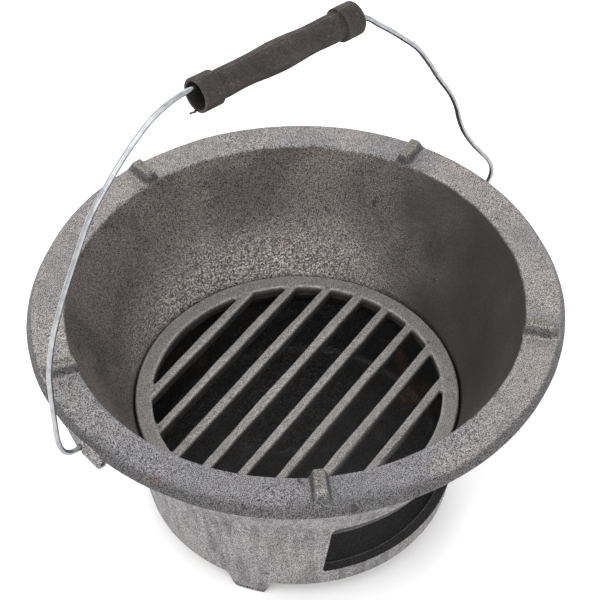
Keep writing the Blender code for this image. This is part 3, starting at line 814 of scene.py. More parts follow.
@dataclass
class BailEar:
    """Cast ear under the rim flange: a wedge with the hook's hole and a round barrel beside it."""

    name: str
    turn: float
    hinge_height: float
    flange_underside: float
    barrel_x: float = 0.1328
    barrel_radius: float = 0.0033
    barrel_start: float = 0.0018
    barrel_length: float = 0.0134
    block_inner: float = 0.1150
    block_outer: float = 0.1343
    # The block's outline: (along the flange's edge, up from the hinge line).
    block_outline: tuple[tuple[float, float], ...] = (
        (-0.0108, 0.0051), (-0.0098, 0.0028), (-0.0044, -0.0036), (-0.0030, -0.0043),
        (0.0018, -0.0043), (0.0028, -0.0034), (0.0028, 0.0051),
    )
    hole_radius: float = 0.0019
    hook_tip: float = 0.1185
    dimple_radius: float = 0.0014
    cell: float = 0.00042

    def build(self) -> bpy.types.Object:
        """Fuse block, barrel and root into one skin, drill it and turn it to its side."""
        parts = [self.barrel(), self.block(), self.root()]
        item = fuse(self.name, parts, self.cell)
        relax(item.data, 3, 0.5)
        cut(item, self.drill("hole", (self.hook_tip, 0.0), (self.block_outer + 0.004, 0.0),
                             self.hole_radius))
        end = self.barrel_start + self.barrel_length
        cut(item, self.drill("dimple", (self.barrel_x, end - 0.0035), (self.barrel_x, end + 0.003),
                             self.dimple_radius))
        places, normals = point_places(item.data), point_normals(item.data)
        lumps = layered_noise(places, 0.0040, 2, 23) * 0.00016
        move_points(item.data, places + normals * lumps[:, None])
        paint(item.data, "edge", edge_wear(item.data, 3, 9000.0))
        paint(item.data, "outside", np.ones(len(places)))
        item.data.transform(Matrix.Rotation(self.turn, 4, "Z"))
        smooth_shading(item.data, 50.0)
        return item

    def barrel(self) -> bpy.types.Object:
        """Round barrel along Y with rounded ends: radius eased down over the last stretch."""
        rows = np.concatenate([[0.0, 0.04, 0.10], np.linspace(0.2, 0.8, 7), [0.90, 0.96, 1.0]])
        edge = np.minimum(rows, 1.0 - rows) * self.barrel_length
        lead = 0.0010
        rounding = 1.0 - np.sqrt(1.0 - np.clip(1.0 - edge / lead, 0.0, 1.0) ** 2)
        radius = self.barrel_radius - lead * rounding
        path = np.zeros((len(rows), 3))
        path[:, 0], path[:, 2] = self.barrel_x, self.hinge_height
        path[:, 1] = self.barrel_start + rows * self.barrel_length
        sections = radius[:, None, None] * circle(28)[None]
        return swept("barrel", path, sections, EAST, UP)

    def slab(self, name: str, x_range: tuple[float, float], y_range: tuple[float, float],
             z_range: tuple[float, float], taper: float) -> bpy.types.Object:
        """Rounded block whose section narrows by a share towards its foot.

        Args:
            name: The object's name.
            x_range: From and to along X.
            y_range: From and to along Y.
            z_range: From and to along Z.
            taper: How much narrower the foot is, as a share.

        Returns:
            The object.
        """
        angle = (np.arange(40) + 0.5) / 40 * TAU
        power = 0.35
        shape = np.stack([np.sign(np.cos(angle)) * np.abs(np.cos(angle)) ** power,
                          np.sign(np.sin(angle)) * np.abs(np.sin(angle)) ** power], axis=1)
        share = np.array([0.0, 0.04, 0.12, 0.3, 0.6, 1.0])
        width = (1.0 - taper * (1.0 - share)) * np.array([0.80, 0.93, 1.0, 1.0, 1.0, 1.0])
        half = np.array([(x_range[1] - x_range[0]) / 2.0, (y_range[1] - y_range[0]) / 2.0])
        path = np.zeros((len(share), 3))
        path[:, 0], path[:, 1] = sum(x_range) / 2.0, sum(y_range) / 2.0
        path[:, 2] = z_range[0] + share * (z_range[1] - z_range[0])
        sections = width[:, None, None] * (shape * half)[None]
        return swept(name, path, sections, EAST, NORTH)

    def block(self) -> bpy.types.Object:
        """Wedge that the hook turns in: its outline carried out along X, a little smaller at its face."""
        middle = (-0.0040, 0.0051)
        corners = [middle, *self.block_outline, middle]
        outline = rounded_path(corners, [0.0008] * len(corners), [0.0010] * len(corners))[:-1]
        outer = self.block_outer
        along = np.array([self.block_inner, outer - 0.0010, outer - 0.0003, outer])
        size = np.array([1.0, 1.0, 0.97, 0.92])
        path = np.zeros((len(along), 3))
        path[:, 0], path[:, 2] = along, self.hinge_height
        sections = outline[None] * size[:, None, None]
        return swept("block", path, sections, NORTH, UP)

    def root(self) -> bpy.types.Object:
        """Web that joins the barrel to the flange above it."""
        end = self.barrel_start + self.barrel_length
        return self.slab("root", (self.barrel_x - 0.0042, self.barrel_x + 0.0012),
                         (self.barrel_start + 0.0006, end - 0.0010),
                         (self.hinge_height - 0.0012, self.flange_underside + 0.0016), 0.05)

    def drill(self, name: str, start: tuple[float, float], end: tuple[float, float], radius: float
              ) -> bpy.types.Object:
        """Round cutter between two places (x, y) at the hinge's height.

        Args:
            name: The object's name.
            start: One end.
            end: The other end.
            radius: Its radius.

        Returns:
            The cutter.
        """
        path = np.array([[*start, self.hinge_height], [*end, self.hinge_height]])
        along = (path[1] - path[0]) / np.linalg.norm(path[1] - path[0])
        outline = radius * circle(24)
        side = np.cross(along, [0.0, 0.0, 1.0])
        return swept(name, path, np.stack([outline, outline]), side, UP)


# ---- The grate ----------------------------------------------------------------------------------
@dataclass
class FireGrate:
    """Loose cast grate: a ring and parallel drafted bars, fused so that they meet in fillets."""

    top: float
    radius: float
    thickness: float = 0.0080
    ring_width: float = 0.0090
    bar_count: int = 8
    bar_pitch: float = 0.01775
    bar_top_half: float = 0.0026
    bar_bottom_half: float = 0.0018
    bar_offset: float = 0.0011
    bar_turn: float = math.radians(14.6)
    bar_rows: int = 60
    cell: float = 0.00078

    def ring(self) -> bpy.types.Object:
        """Outer ring: a drafted section with rounded top edges, turned about Z."""
        inner = self.radius - self.ring_width
        corners = [(inner + 0.004, self.top), (self.radius, self.top),
                   (self.radius - 0.0006, self.bottom()), (inner + 0.0007, self.bottom()),
                   (inner, self.top), (inner + 0.004, self.top)]
        profile = rounded_path(corners, [0, 0.0010, 0.0006, 0.0006, 0.0009, 0], [0.0012] * 6)[:-1]
        return revolved("ring", profile, 240)

    def bottom(self) -> float:
        """Height of the grate's underside."""
        return self.top - self.thickness

    def bar(self, index: int) -> bpy.types.Object:
        """One bar across the ring.

        Its section is a drafted T-like wedge, wider at the top. Its middle and its width stray a
        little along its length, as hand-moulded bars do.
        """
        offset = (index - (self.bar_count - 1) / 2.0) * self.bar_pitch + self.bar_offset
        reach = self.radius - 0.45 * self.ring_width
        half = math.sqrt(reach**2 - offset**2)
        along = np.linspace(-half, half, self.bar_rows)
        probe = np.stack([along, np.full_like(along, 0.05 * index), np.zeros_like(along)], axis=1)
        stray = layered_noise(probe, 0.040, 2, 61) * 0.00045
        swell = 1.0 + layered_noise(probe, 0.022, 2, 67) * 0.10 + 0.05 * math.sin(1.9 * index)
        sag = layered_noise(probe, 0.050, 1, 71) * 0.00025 - 0.0003
        wide, thin = self.bar_top_half, self.bar_bottom_half
        low, high, round_off = self.bottom() + 0.0003, self.top, 0.0009
        outline = np.array([(-thin, low), (thin, low), (wide, high - round_off),
                            (wide - 0.4 * round_off, high - 0.3 * round_off), (wide - round_off, high),
                            (-wide + round_off, high), (-wide + 0.4 * round_off, high - 0.3 * round_off),
                            (-wide, high - round_off)])
        sections = np.repeat(outline[None], self.bar_rows, axis=0)
        sections[:, :, 0] = sections[:, :, 0] * swell[:, None] + offset + stray[:, None]
        sections[:, :, 1] += sag[:, None]
        direction = np.array([math.cos(self.bar_turn), math.sin(self.bar_turn), 0.0])
        side = np.array([-math.sin(self.bar_turn), math.cos(self.bar_turn), 0.0])
        return swept(f"bar_{index + 1}", along[:, None] * direction, sections, side, UP)

    def build(self) -> bpy.types.Object:
        """Fuse ring and bars, even the skin out, roughen it, and mark its tops and the painted shade down
        its slots.
        """
        bars = [self.bar(index) for index in range(self.bar_count)]
        item = fuse("grate_casting", [self.ring(), *bars], self.cell)
        relax(item.data, 4, 0.5)
        places, normals = point_places(item.data), point_normals(item.data)
        lumps = layered_noise(places, 0.0060, 2, 29) * 0.00016
        waves = layered_noise(places, 0.030, 1, 31) * 0.00020
        held = np.hypot(places[:, 0], places[:, 1]) < self.radius - 0.0004
        move_points(item.data, places + normals * ((lumps + waves) * held)[:, None])
        depth = self.top - point_places(item.data)[:, 2]
        paint(item.data, "top", smooth_step(0.0016, 0.0004, depth))
        # Painted shade: grows with depth below the grate's top, down the bars' sides and into the slots.
        paint(item.data, "deep", smooth_step(0.0006, 0.0060, depth))
        paint(item.data, "edge", edge_wear(item.data, 2, 9000.0))
        smooth_shading(item.data, 60.0)
        return item


# ---- The bail -----------------------------------------------------------------------------------
@dataclass
class BailWire:
    """Bent galvanised wire that hooks into the ears and runs through the grip."""

    rim_height: float
    hinge_height: float
    grip_centre: Array
    grip_axis: Array
    radius: float = 0.0013
    hook_tip: float = 0.1200
    end_dome: float = 0.0009
    sides: int = 20
    step: float = 0.0011
    # The hand-bent wire's route as it leaves the grip on each side: points (x, height above the rim).
    left_leg: tuple[tuple[float, float], ...] = (
        (-0.0590, 0.1617), (-0.0655, 0.1610), (-0.0722, 0.1592), (-0.0789, 0.1560),
        (-0.0908, 0.1471), (-0.1031, 0.1352), (-0.1126, 0.1243), (-0.1200, 0.1110),
        (-0.1258, 0.0996), (-0.1316, 0.0879), (-0.1388, 0.0705), (-0.1438, 0.0508),
        (-0.1452, 0.0303), (-0.1456, 0.0160), (-0.1457, 0.0060), (-0.1449, -0.0005),
        (-0.1432, -0.0052), (-0.1404, -0.0080), (-0.1376, -0.0089),
    )
    right_leg: tuple[tuple[float, float], ...] = (
        (0.0463, 0.1475), (0.0535, 0.1405), (0.0606, 0.1336), (0.0693, 0.1246),
        (0.0768, 0.1166), (0.0811, 0.1112), (0.0885, 0.0992), (0.0961, 0.0859),
        (0.1047, 0.0720), (0.1096, 0.0613), (0.1124, 0.0519), (0.1164, 0.0418),
        (0.1233, 0.0297), (0.1319, 0.0172), (0.1377, 0.0091), (0.1410, 0.0010),
        (0.1404, -0.0050), (0.1378, -0.0082),
    )
    # Where the wire lies inside the grip: points (along the grip's axis, up from it).
    in_grip: tuple[tuple[float, float], ...] = (
        (-0.0440, 0.0041), (-0.0280, 0.0030), (0.0270, 0.0028), (0.0430, 0.0018),
    )

    def guide(self) -> Array:
        """The route's points from the left hook's tip, through the grip, to the right hook's tip."""
        upward = np.array([-self.grip_axis[2], 0.0, self.grip_axis[0]])
        axis = self.hinge_height - self.rim_height

        def above_rim(points: list[tuple[float, float]]) -> Array:
            """Points (x, height above the rim) as places on the bail's plane."""
            return np.array([(x, 0.0, self.rim_height + z) for x, z in points])

        left = [(-self.hook_tip, axis), (-0.1270, axis), (-0.1345, axis - 0.0001), *self.left_leg[::-1]]
        right = [*self.right_leg, (0.1345, axis - 0.0001), (0.1270, axis), (self.hook_tip, axis)]
        inside = [self.grip_centre + self.grip_axis * a + upward * b for a, b in self.in_grip]
        return np.concatenate([above_rim(left), np.array(inside), above_rim(right)])

    def route(self) -> Array:
        """Even points along a centripetal Catmull-Rom curve through the guide.

        On each stretch the curve blends straight lines between four neighbouring points three
        times over, with knots spaced by the square root of the points' distances.
        """
        guide = self.guide()
        padded = np.concatenate([[2 * guide[0] - guide[1]], guide, [2 * guide[-1] - guide[-2]]])
        gaps = np.sqrt(np.linalg.norm(np.diff(padded, axis=0), axis=1))
        knots = np.concatenate([[0.0], np.cumsum(gaps)])
        t = np.linspace(knots[1], knots[-2], 6000)
        span = np.clip(np.searchsorted(knots, t, side="right") - 1, 1, len(knots) - 3)

        def between(first: Array, second: Array, start: Array, end: Array) -> Array:
            """Straight blend of two moving points over a stretch of knots."""
            share = ((t - start) / (end - start))[:, None]
            return first * (1.0 - share) + second * share

        p0, p1, p2, p3 = (padded[span + k] for k in (-1, 0, 1, 2))
        t0, t1, t2, t3 = (knots[span + k] for k in (-1, 0, 1, 2))
        a1, a2, a3 = between(p0, p1, t0, t1), between(p1, p2, t1, t2), between(p2, p3, t2, t3)
        b1, b2 = between(a1, a2, t0, t2), between(a2, a3, t1, t3)
        fine = between(b1, b2, t1, t2)
        run = np.concatenate([[0.0], np.cumsum(np.linalg.norm(np.diff(fine, axis=0), axis=1))])
        even = np.linspace(0.0, run[-1], int(run[-1] / self.step))
        return np.stack([np.interp(even, run, fine[:, axis]) for axis in range(3)], axis=1)

    def build(self) -> bpy.types.Object:
        """Carry a circle along the route.

        The wire lies in one plane, so its section's axes are that plane's normal and the normal's
        cross product with the tangent. The cut ends are slightly domed.
        """
        route = self.route()
        tangent = np.gradient(route, axis=0)
        tangent /= np.linalg.norm(tangent, axis=1)[:, None]
        run = np.concatenate([[0.0], np.cumsum(np.linalg.norm(np.diff(route, axis=0), axis=1))])
        normal = NORTH
        across = np.cross(tangent, normal)
        probe = np.stack([run, np.zeros_like(run), np.zeros_like(run)], axis=1)
        kink = layered_noise(probe, 0.024, 2, 83) * 0.00022
        free = smooth_step(0.012, 0.030, np.minimum(run, run[-1] - run))
        route = route + across * (kink * free)[:, None]
        near_end = np.clip(1.0 - np.minimum(run, run[-1] - run) / self.end_dome, 0, 1)
        radius = self.radius * np.maximum(np.sqrt(1.0 - near_end**2), 0.25)
        sections = radius[:, None, None] * circle(self.sides)[None]
        item = swept("bail", route, sections, across, normal)
        mesh = item.data
        count = len(route) * self.sides
        along = np.concatenate([np.repeat(run, self.sides), [0.0, run[-1]]])
        turn = np.concatenate([np.tile(np.arange(self.sides) / self.sides * TAU, len(route)), [0.0, 0.0]])
        if len(mesh.vertices) != count + 2:
            raise ValueError("the wire's vertices were merged")
        paint(mesh, "along", along)
        paint(mesh, "turn", turn)
        smooth_shading(mesh, 60.0)
        return item


@dataclass
class MouldedGrip:
    """Hollow moulded grip with a collar at each end, a parting seam and a scrap of flash."""

    centre: Array
    axis: Array
    length: float = 0.0917
    collar_radius: float = 0.0080
    collar_length: float = 0.0102
    end_radius: float = 0.0065
    middle_radius: float = 0.0071
    bore: float = 0.0051
    mouth_bore: float = 0.0062
    mouth_depth: float = 0.0080
    seam_height: float = 0.00022
    seam_half: float = 0.00055
    wave_height: float = 0.00030
    columns: int = 132
    flash_length: float = 0.0034
    flash_radius: float = 0.00085

    def section(self) -> Array:
        """Closed section (radius, height along the axis): outside from top to bottom, bore back up."""
        half, collar = self.length / 2.0, self.length / 2.0 - self.collar_length
        outer = [((self.collar_radius - 0.0012, half), 0.0, 0.0006),
                 ((self.collar_radius, half), 0.0007, 0.0009),
                 ((self.collar_radius, collar), 0.0004, 0.0006),
                 ((self.end_radius + 0.0001, collar - 0.0002), 0.0003, 0.0012),
                 ((self.end_radius, collar - 0.0030), 0.0, 0.0012)]
        lower = [((r, -z), c, outer[max(i - 1, 0)][2])
                 for i, ((r, z), c, _) in reversed(list(enumerate(outer)))]
        lower[0] = ((self.end_radius, -collar + 0.0030), 0.0, 0.0012)
        bore = [((self.mouth_bore + 0.0002, -half), 0.0003, 0.0011),
                ((self.mouth_bore, -half + self.mouth_depth), 0.0006, 0.0010),
                ((self.bore, -half + self.mouth_depth + 0.0012), 0.0006, 0.0040),
                ((self.bore, half - self.mouth_depth - 0.0012), 0.0006, 0.0010),
                ((self.mouth_bore, half - self.mouth_depth), 0.0006, 0.0011),
                ((self.mouth_bore + 0.0002, half), 0.0003, 0.0006),
                ((self.collar_radius - 0.0012, half), 0.0, 1.0)]
        corners = outer + lower + bore
        points, radii, spacing = (list(column) for column in zip(*corners))
        return rounded_path(points, radii, spacing)[:-1]

    def build(self) -> bpy.types.Object:
        """Turn the section, then swell the middle, raise the seam and let the surface wander.

        The body's radius grows by a cosine-squared hump along its length, with a shallow cosine
        wave of finger hollows on it. The seam is a ridge of a cosine shape at two opposite angles.
        The collars' ends and rims are left uneven.
        """
        section = self.section()
        collar = self.length / 2.0 - self.collar_length
        angle = spread_angles(self.columns, [(0.0, 0.10, 2.5), (math.pi, 0.10, 2.5)])[None, :]
        radius, height = section[:, :1], section[:, 1:]
        outside = smooth_step(self.mouth_bore - 0.0001, self.mouth_bore + 0.0003, radius)
        on_body = (np.abs(height) < collar) * outside
        swell = np.cos(np.clip(height / collar, -1.0, 1.0) * math.pi / 2.0) ** 2
        grown = radius + (self.middle_radius - self.end_radius) * swell * on_body
        wave = np.cos(height / collar * TAU) * smooth_step(0.0, 0.006, collar - np.abs(height))
        grown = grown + self.wave_height * wave * on_body
        away = np.minimum(np.abs(beside(angle, 0.0, radius)), np.abs(beside(angle, math.pi, radius)))
        ridge = np.cos(np.clip(away / self.seam_half, 0.0, 1.0) * math.pi / 2.0) ** 2 * self.seam_height
        grown = grown + ridge * outside
        points = np.stack([grown * np.cos(angle), grown * np.sin(angle),
                           np.broadcast_to(height, grown.shape)], axis=2).reshape(-1, 3)
        drift = layered_noise(points, 0.014, 2, 101) * 0.00022
        radial = points * np.array([1.0, 1.0, 0.0])
        radial /= np.maximum(np.linalg.norm(radial, axis=1), 1e-9)[:, None]
        outer_mask = np.broadcast_to(outside, grown.shape).ravel()
        points = points + radial * (drift * outer_mask)[:, None]
        ends = smooth_step(self.length / 2.0 - 0.0030, self.length / 2.0, np.abs(points[:, 2]))
        points[:, 2] += layered_noise(points, 0.0035, 2, 107) * 0.00030 * ends
        faces = grid_faces(len(section), self.columns, close_rows=True)[:, ::-1]
        mesh = mesh_from_arrays("grip", points, faces)
        item = new_object("grip", mesh)
        paint(mesh, "seam", np.broadcast_to(ridge / self.seam_height, grown.shape).ravel())
        paint(mesh, "edge", edge_wear(mesh, 1, 9000.0))
        # Marks the bore's inner surface for painted shade.
        paint(mesh, "bore", 1.0 - outer_mask)
        mesh.transform(self.placing())
        smooth_shading(mesh, 45.0)
        return item

    def placing(self) -> Matrix:
        """Matrix that lays the grip's own Z along its axis, with its seam towards the top."""
        along = Vector(self.axis).normalized()
        upward = Vector((-along.z, 0.0, along.x))
        side = along.cross(upward)
        matrix = Matrix((upward, side, along)).transposed().to_4x4()
        matrix.translation = Vector(self.centre)
        return matrix

    def build_flash(self) -> bpy.types.Object:
        """Scrap of flash that hangs from the left collar's lower rim: a thin S-shaped curl."""
        share = np.linspace(0.0, 1.0, 26)
        rim = (self.collar_radius + self.mouth_bore) / 2.0
        path = np.stack([
            -(rim - 0.0004) - self.flash_length * 0.62 * share,
            0.0007 * np.sin(share * TAU * 0.9),
            -self.length / 2.0 + 0.0006 - self.flash_length * 0.80 * np.sin(share * math.pi * 0.62),
        ], axis=1)
        tangent = np.gradient(path, axis=0)
        tangent /= np.linalg.norm(tangent, axis=1)[:, None]
        side = np.cross(tangent, [0.0, 1.0, 0.0])
        side /= np.linalg.norm(side, axis=1)[:, None]
        up = np.cross(side, tangent)
        angle = np.arange(12) / 12 * TAU
        outline = np.stack([np.cos(angle), 0.6 * np.sin(angle)], axis=1)
        size = self.flash_radius * (1.0 - 0.55 * share + 0.35 * np.exp(-((share - 0.85) / 0.12) ** 2))
        size = size * np.sqrt(np.clip(1.0 - np.clip((share - 0.93) / 0.07, 0.0, 1.0) ** 2, 0.05, 1.0))
        item = swept("grip_flash", path, size[:, None, None] * outline[None], side, up)
        item.data.transform(self.placing())
        smooth_shading(item.data, 60.0)
        return item


# ---- Node graphs --------------------------------------------------------------------------------
Socket = bpy.types.NodeSocket
Feed = Socket | float | tuple


class Graph:
    """Adds nodes to a material's or a group's tree and joins them."""

    def __init__(self, tree: bpy.types.NodeTree) -> None:
        """Work on one tree."""
        self.tree = tree

    def feed(self, socket: Socket, value: Feed) -> None:
        """Link a socket to another, or set its number, vector or colour."""
        if isinstance(value, bpy.types.NodeSocket):
            self.tree.links.new(value, socket)
        elif isinstance(value, tuple) and len(value) == 3 and socket.type == "RGBA":
            socket.default_value = (*value, 1.0)
        else:
            socket.default_value = value

    def add(self, kind: str, inputs: dict[str | int, Feed], **settings: object) -> bpy.types.Node:
        """Add a node.

        Args:
            kind: The node's type name.
            inputs: What feeds its sockets, by name or number.
            settings: Its other properties.

        Returns:
            The node.
        """
        node = self.tree.nodes.new(kind)
        for name, value in settings.items():
            setattr(node, name, value)
        for name, value in inputs.items():
            self.feed(node.inputs[name], value)
        return node

    def place(self) -> Socket:
        """Place on the object, in metres."""
        return self.add("ShaderNodeTexCoord", {}).outputs["Object"]

    def mark(self, name: str) -> Socket:
        """Number stored on the mesh's vertices."""
        return self.add("ShaderNodeAttribute", {}, attribute_name=name).outputs["Fac"]

    def noise(self, vector: Socket, scale: Feed, detail: float = 2.0, distortion: float = 0.0) -> Socket:
        """Cloudy noise from 0 to 1."""
        inputs = {"Vector": vector, "Scale": scale, "Detail": detail, "Distortion": distortion}
        return self.add("ShaderNodeTexNoise", inputs).outputs["Fac"]

    def sum(self, first: Feed, second: Feed) -> Socket:
        """First plus second."""
        return self.add("ShaderNodeMath", {0: first, 1: second}, operation="ADD").outputs[0]

    def product(self, first: Feed, second: Feed) -> Socket:
        """First times second."""
        return self.add("ShaderNodeMath", {0: first, 1: second}, operation="MULTIPLY").outputs[0]

    def rest(self, share: Feed) -> Socket:
        """What a share leaves of one: 1 - share."""
        return self.sum(1.0, self.product(share, -1.0))

    def ratio(self, first: Feed, second: Feed) -> Socket:
        """First over second."""
        return self.add("ShaderNodeMath", {0: first, 1: second}, operation="DIVIDE").outputs[0]

    def ease(self, value: Feed, low: Feed, high: Feed,
             out_low: float = 0.0, out_high: float = 1.0) -> Socket:
        """Ease a value from out_low at low to out_high at high."""
        inputs = {"Value": value, "From Min": low, "From Max": high, "To Min": out_low, "To Max": out_high}
        return self.add("ShaderNodeMapRange", inputs, interpolation_type="SMOOTHSTEP").outputs["Result"]

    def stretch(self, vector: Socket, factors: Point) -> Socket:
        """Vector with each axis multiplied."""
        return self.add("ShaderNodeVectorMath", {0: vector, 1: factors}, operation="MULTIPLY").outputs[0]

    def tint(self, under: Feed, share: Feed, strength: float, over: Feed) -> Socket:
        """Lay a colour over another at share * strength."""
        return self.blend(self.product(share, strength), under, over)

    def blend(self, share: Feed, first: Feed, second: Feed) -> Socket:
        """Blend two colours.

        Args:
            share: How much of the second, 0 to 1.
            first: A colour.
            second: Another.

        Returns:
            The blended colour.
        """
        node = self.add("ShaderNodeMix", {0: share}, data_type="RGBA")
        self.feed(node.inputs[6], first)
        self.feed(node.inputs[7], second)
        return node.outputs[2]

    def shade(self, colour: Socket, factor: Socket) -> Socket:
        """Colour multiplied by a number, which may pass 1."""
        return self.add("ShaderNodeVectorMath", {0: colour, "Scale": factor}, operation="SCALE").outputs[0]

    def effect(self, group: bpy.types.NodeTree, inputs: dict[str, Feed]) -> bpy.types.Node:
        """Place a shared effect with its own values."""
        node = self.tree.nodes.new("ShaderNodeGroup")
        node.node_tree = group
        for name, value in inputs.items():
            self.feed(node.inputs[name], value)
        return node


def new_effect(name: str, inputs: dict[str, str], outputs: dict[str, str]) -> tuple[Graph, Socket, Socket]:
    """Start a node group with named sockets.

    Args:
        name: The group's name.
        inputs: Socket type of each input.
        outputs: Socket type of each output.

    Returns:
        The group's graph, its input node's outputs and its output node's inputs.
    """
    tree = bpy.data.node_groups.new(name, "ShaderNodeTree")
    for label, kind in inputs.items():
        tree.interface.new_socket(label, in_out="INPUT", socket_type=kind)
    for label, kind in outputs.items():
        tree.interface.new_socket(label, in_out="OUTPUT", socket_type=kind)
    source, drain = tree.nodes.new("NodeGroupInput"), tree.nodes.new("NodeGroupOutput")
    return Graph(tree), source.outputs, drain.inputs


NUMBER, VECTOR = "NodeSocketFloat", "NodeSocketVector"


def sand_grain_effect() -> bpy.types.NodeTree:
    """Sand-cast skin: grains of a given size. Gives a brightness tone and a height, both about 0.5."""
    graph, given, result = new_effect(
        "sand_grain", {"Place": VECTOR, "Size": NUMBER}, {"Tone": NUMBER, "Height": NUMBER})
    scale = graph.ratio(1.0, given["Size"])
    fine = graph.noise(given["Place"], scale, 2.0)
    broad = graph.noise(given["Place"], graph.product(scale, 0.33), 3.0)
    cells = graph.add("ShaderNodeTexVoronoi",
                      {"Vector": given["Place"], "Scale": graph.product(scale, 0.62)})
    bumps = graph.ease(cells.outputs["Distance"], 0.9, 0.0)
    height = graph.sum(graph.product(fine, 0.45), graph.product(broad, 0.30))
    height = graph.sum(height, graph.product(bumps, 0.25))
    sparkle = graph.ease(fine, 0.28, 0.72)
    tone = graph.sum(graph.product(sparkle, 0.84), graph.product(graph.ease(broad, 0.3, 0.7), 0.16))
    graph.feed(result["Tone"], tone)
    graph.feed(result["Height"], height)
    return graph.tree


def pits_effect() -> bpy.types.NodeTree:
    """Blowholes: ragged round pits in a share of the cells of a given size. Gives a mask."""
    graph, given, result = new_effect(
        "blowholes", {"Place": VECTOR, "Size": NUMBER, "Share": NUMBER}, {"Pit": NUMBER})
    scale = graph.ratio(1.0, given["Size"])
    stir = graph.add("ShaderNodeTexNoise", {"Vector": given["Place"], "Scale": graph.product(scale, 2.4)})
    shift = graph.add("ShaderNodeVectorMath", {0: stir.outputs["Color"], 1: (0.5, 0.5, 0.5)},
                      operation="SUBTRACT").outputs[0]
    shift = graph.add("ShaderNodeVectorMath", {0: shift, "Scale": graph.product(given["Size"], 0.55)},
                      operation="SCALE").outputs[0]
    moved = graph.add("ShaderNodeVectorMath", {0: given["Place"], 1: shift}, operation="ADD").outputs[0]
    cells = graph.add("ShaderNodeTexVoronoi", {"Vector": moved, "Scale": scale})
    draw = graph.add("ShaderNodeSeparateColor", {"Color": cells.outputs["Color"]})
    chosen = graph.add("ShaderNodeMath", {0: draw.outputs["Red"], 1: given["Share"]}, operation="LESS_THAN")
    reach = graph.sum(graph.product(draw.outputs["Green"], 0.26), 0.10)
    hole = graph.ease(graph.ratio(cells.outputs["Distance"], reach), 1.0, 0.45)
    graph.feed(result["Pit"], graph.product(hole, chosen.outputs[0]))
    return graph.tree


def mottle_effect() -> bpy.types.NodeTree:
    """Uneven tone of bare iron: broad clouds and smaller blotches of a given size."""
    graph, given, result = new_effect(
        "mottle", {"Place": VECTOR, "Size": NUMBER}, {"Cloud": NUMBER, "Blotch": NUMBER})
    scale = graph.ratio(1.0, given["Size"])
    cloud = graph.noise(given["Place"], scale, 3.0, 0.6)
    blotch = graph.noise(given["Place"], graph.product(scale, 4.3), 3.0, 0.3)
    graph.feed(result["Cloud"], graph.ease(cloud, 0.36, 0.66))
    graph.feed(result["Blotch"], graph.ease(blotch, 0.34, 0.68))
    return graph.tree


def rust_effect() -> bpy.types.NodeTree:
    """First rust: thin blooms with speckled edges. Gives a mask that grows with Amount."""
    graph, given, result = new_effect(
        "rust_bloom", {"Place": VECTOR, "Size": NUMBER, "Amount": NUMBER}, {"Rust": NUMBER})
    scale = graph.ratio(1.0, given["Size"])
    bloom = graph.noise(given["Place"], scale, 4.0, 0.8)
    speckle = graph.noise(given["Place"], graph.product(scale, 30.0), 2.0)
    edge = graph.sum(0.86, graph.product(given["Amount"], -0.30))
    mask = graph.ease(graph.sum(bloom, graph.product(speckle, 0.22)), edge, graph.sum(edge, 0.16))
    graph.feed(result["Rust"], mask)
    return graph.tree


def runs_effect() -> bpy.types.NodeTree:
    """Faint upright runs down a wall: noise drawn out along Z."""
    graph, given, result = new_effect("runs", {"Place": VECTOR, "Size": NUMBER}, {"Run": NUMBER})
    drawn = graph.stretch(given["Place"], (1.0, 1.0, 0.10))
    run = graph.noise(drawn, graph.ratio(1.0, given["Size"]), 3.0, 0.4)
    graph.feed(result["Run"], graph.ease(run, 0.38, 0.68))
    return graph.tree


@dataclass
class Effects:
    """The node groups that several finishes share."""

    sand: bpy.types.NodeTree = field(default_factory=sand_grain_effect)
    pits: bpy.types.NodeTree = field(default_factory=pits_effect)
    mottle: bpy.types.NodeTree = field(default_factory=mottle_effect)
    rust: bpy.types.NodeTree = field(default_factory=rust_effect)
    runs: bpy.types.NodeTree = field(default_factory=runs_effect)


def new_material(name: str) -> tuple[bpy.types.Material, Graph, bpy.types.Node]:
    """Material with an empty graph and its Principled shader."""
    material = bpy.data.materials.new(name)
    material.use_nodes = True
    return material, Graph(material.node_tree), material.node_tree.nodes["Principled BSDF"]


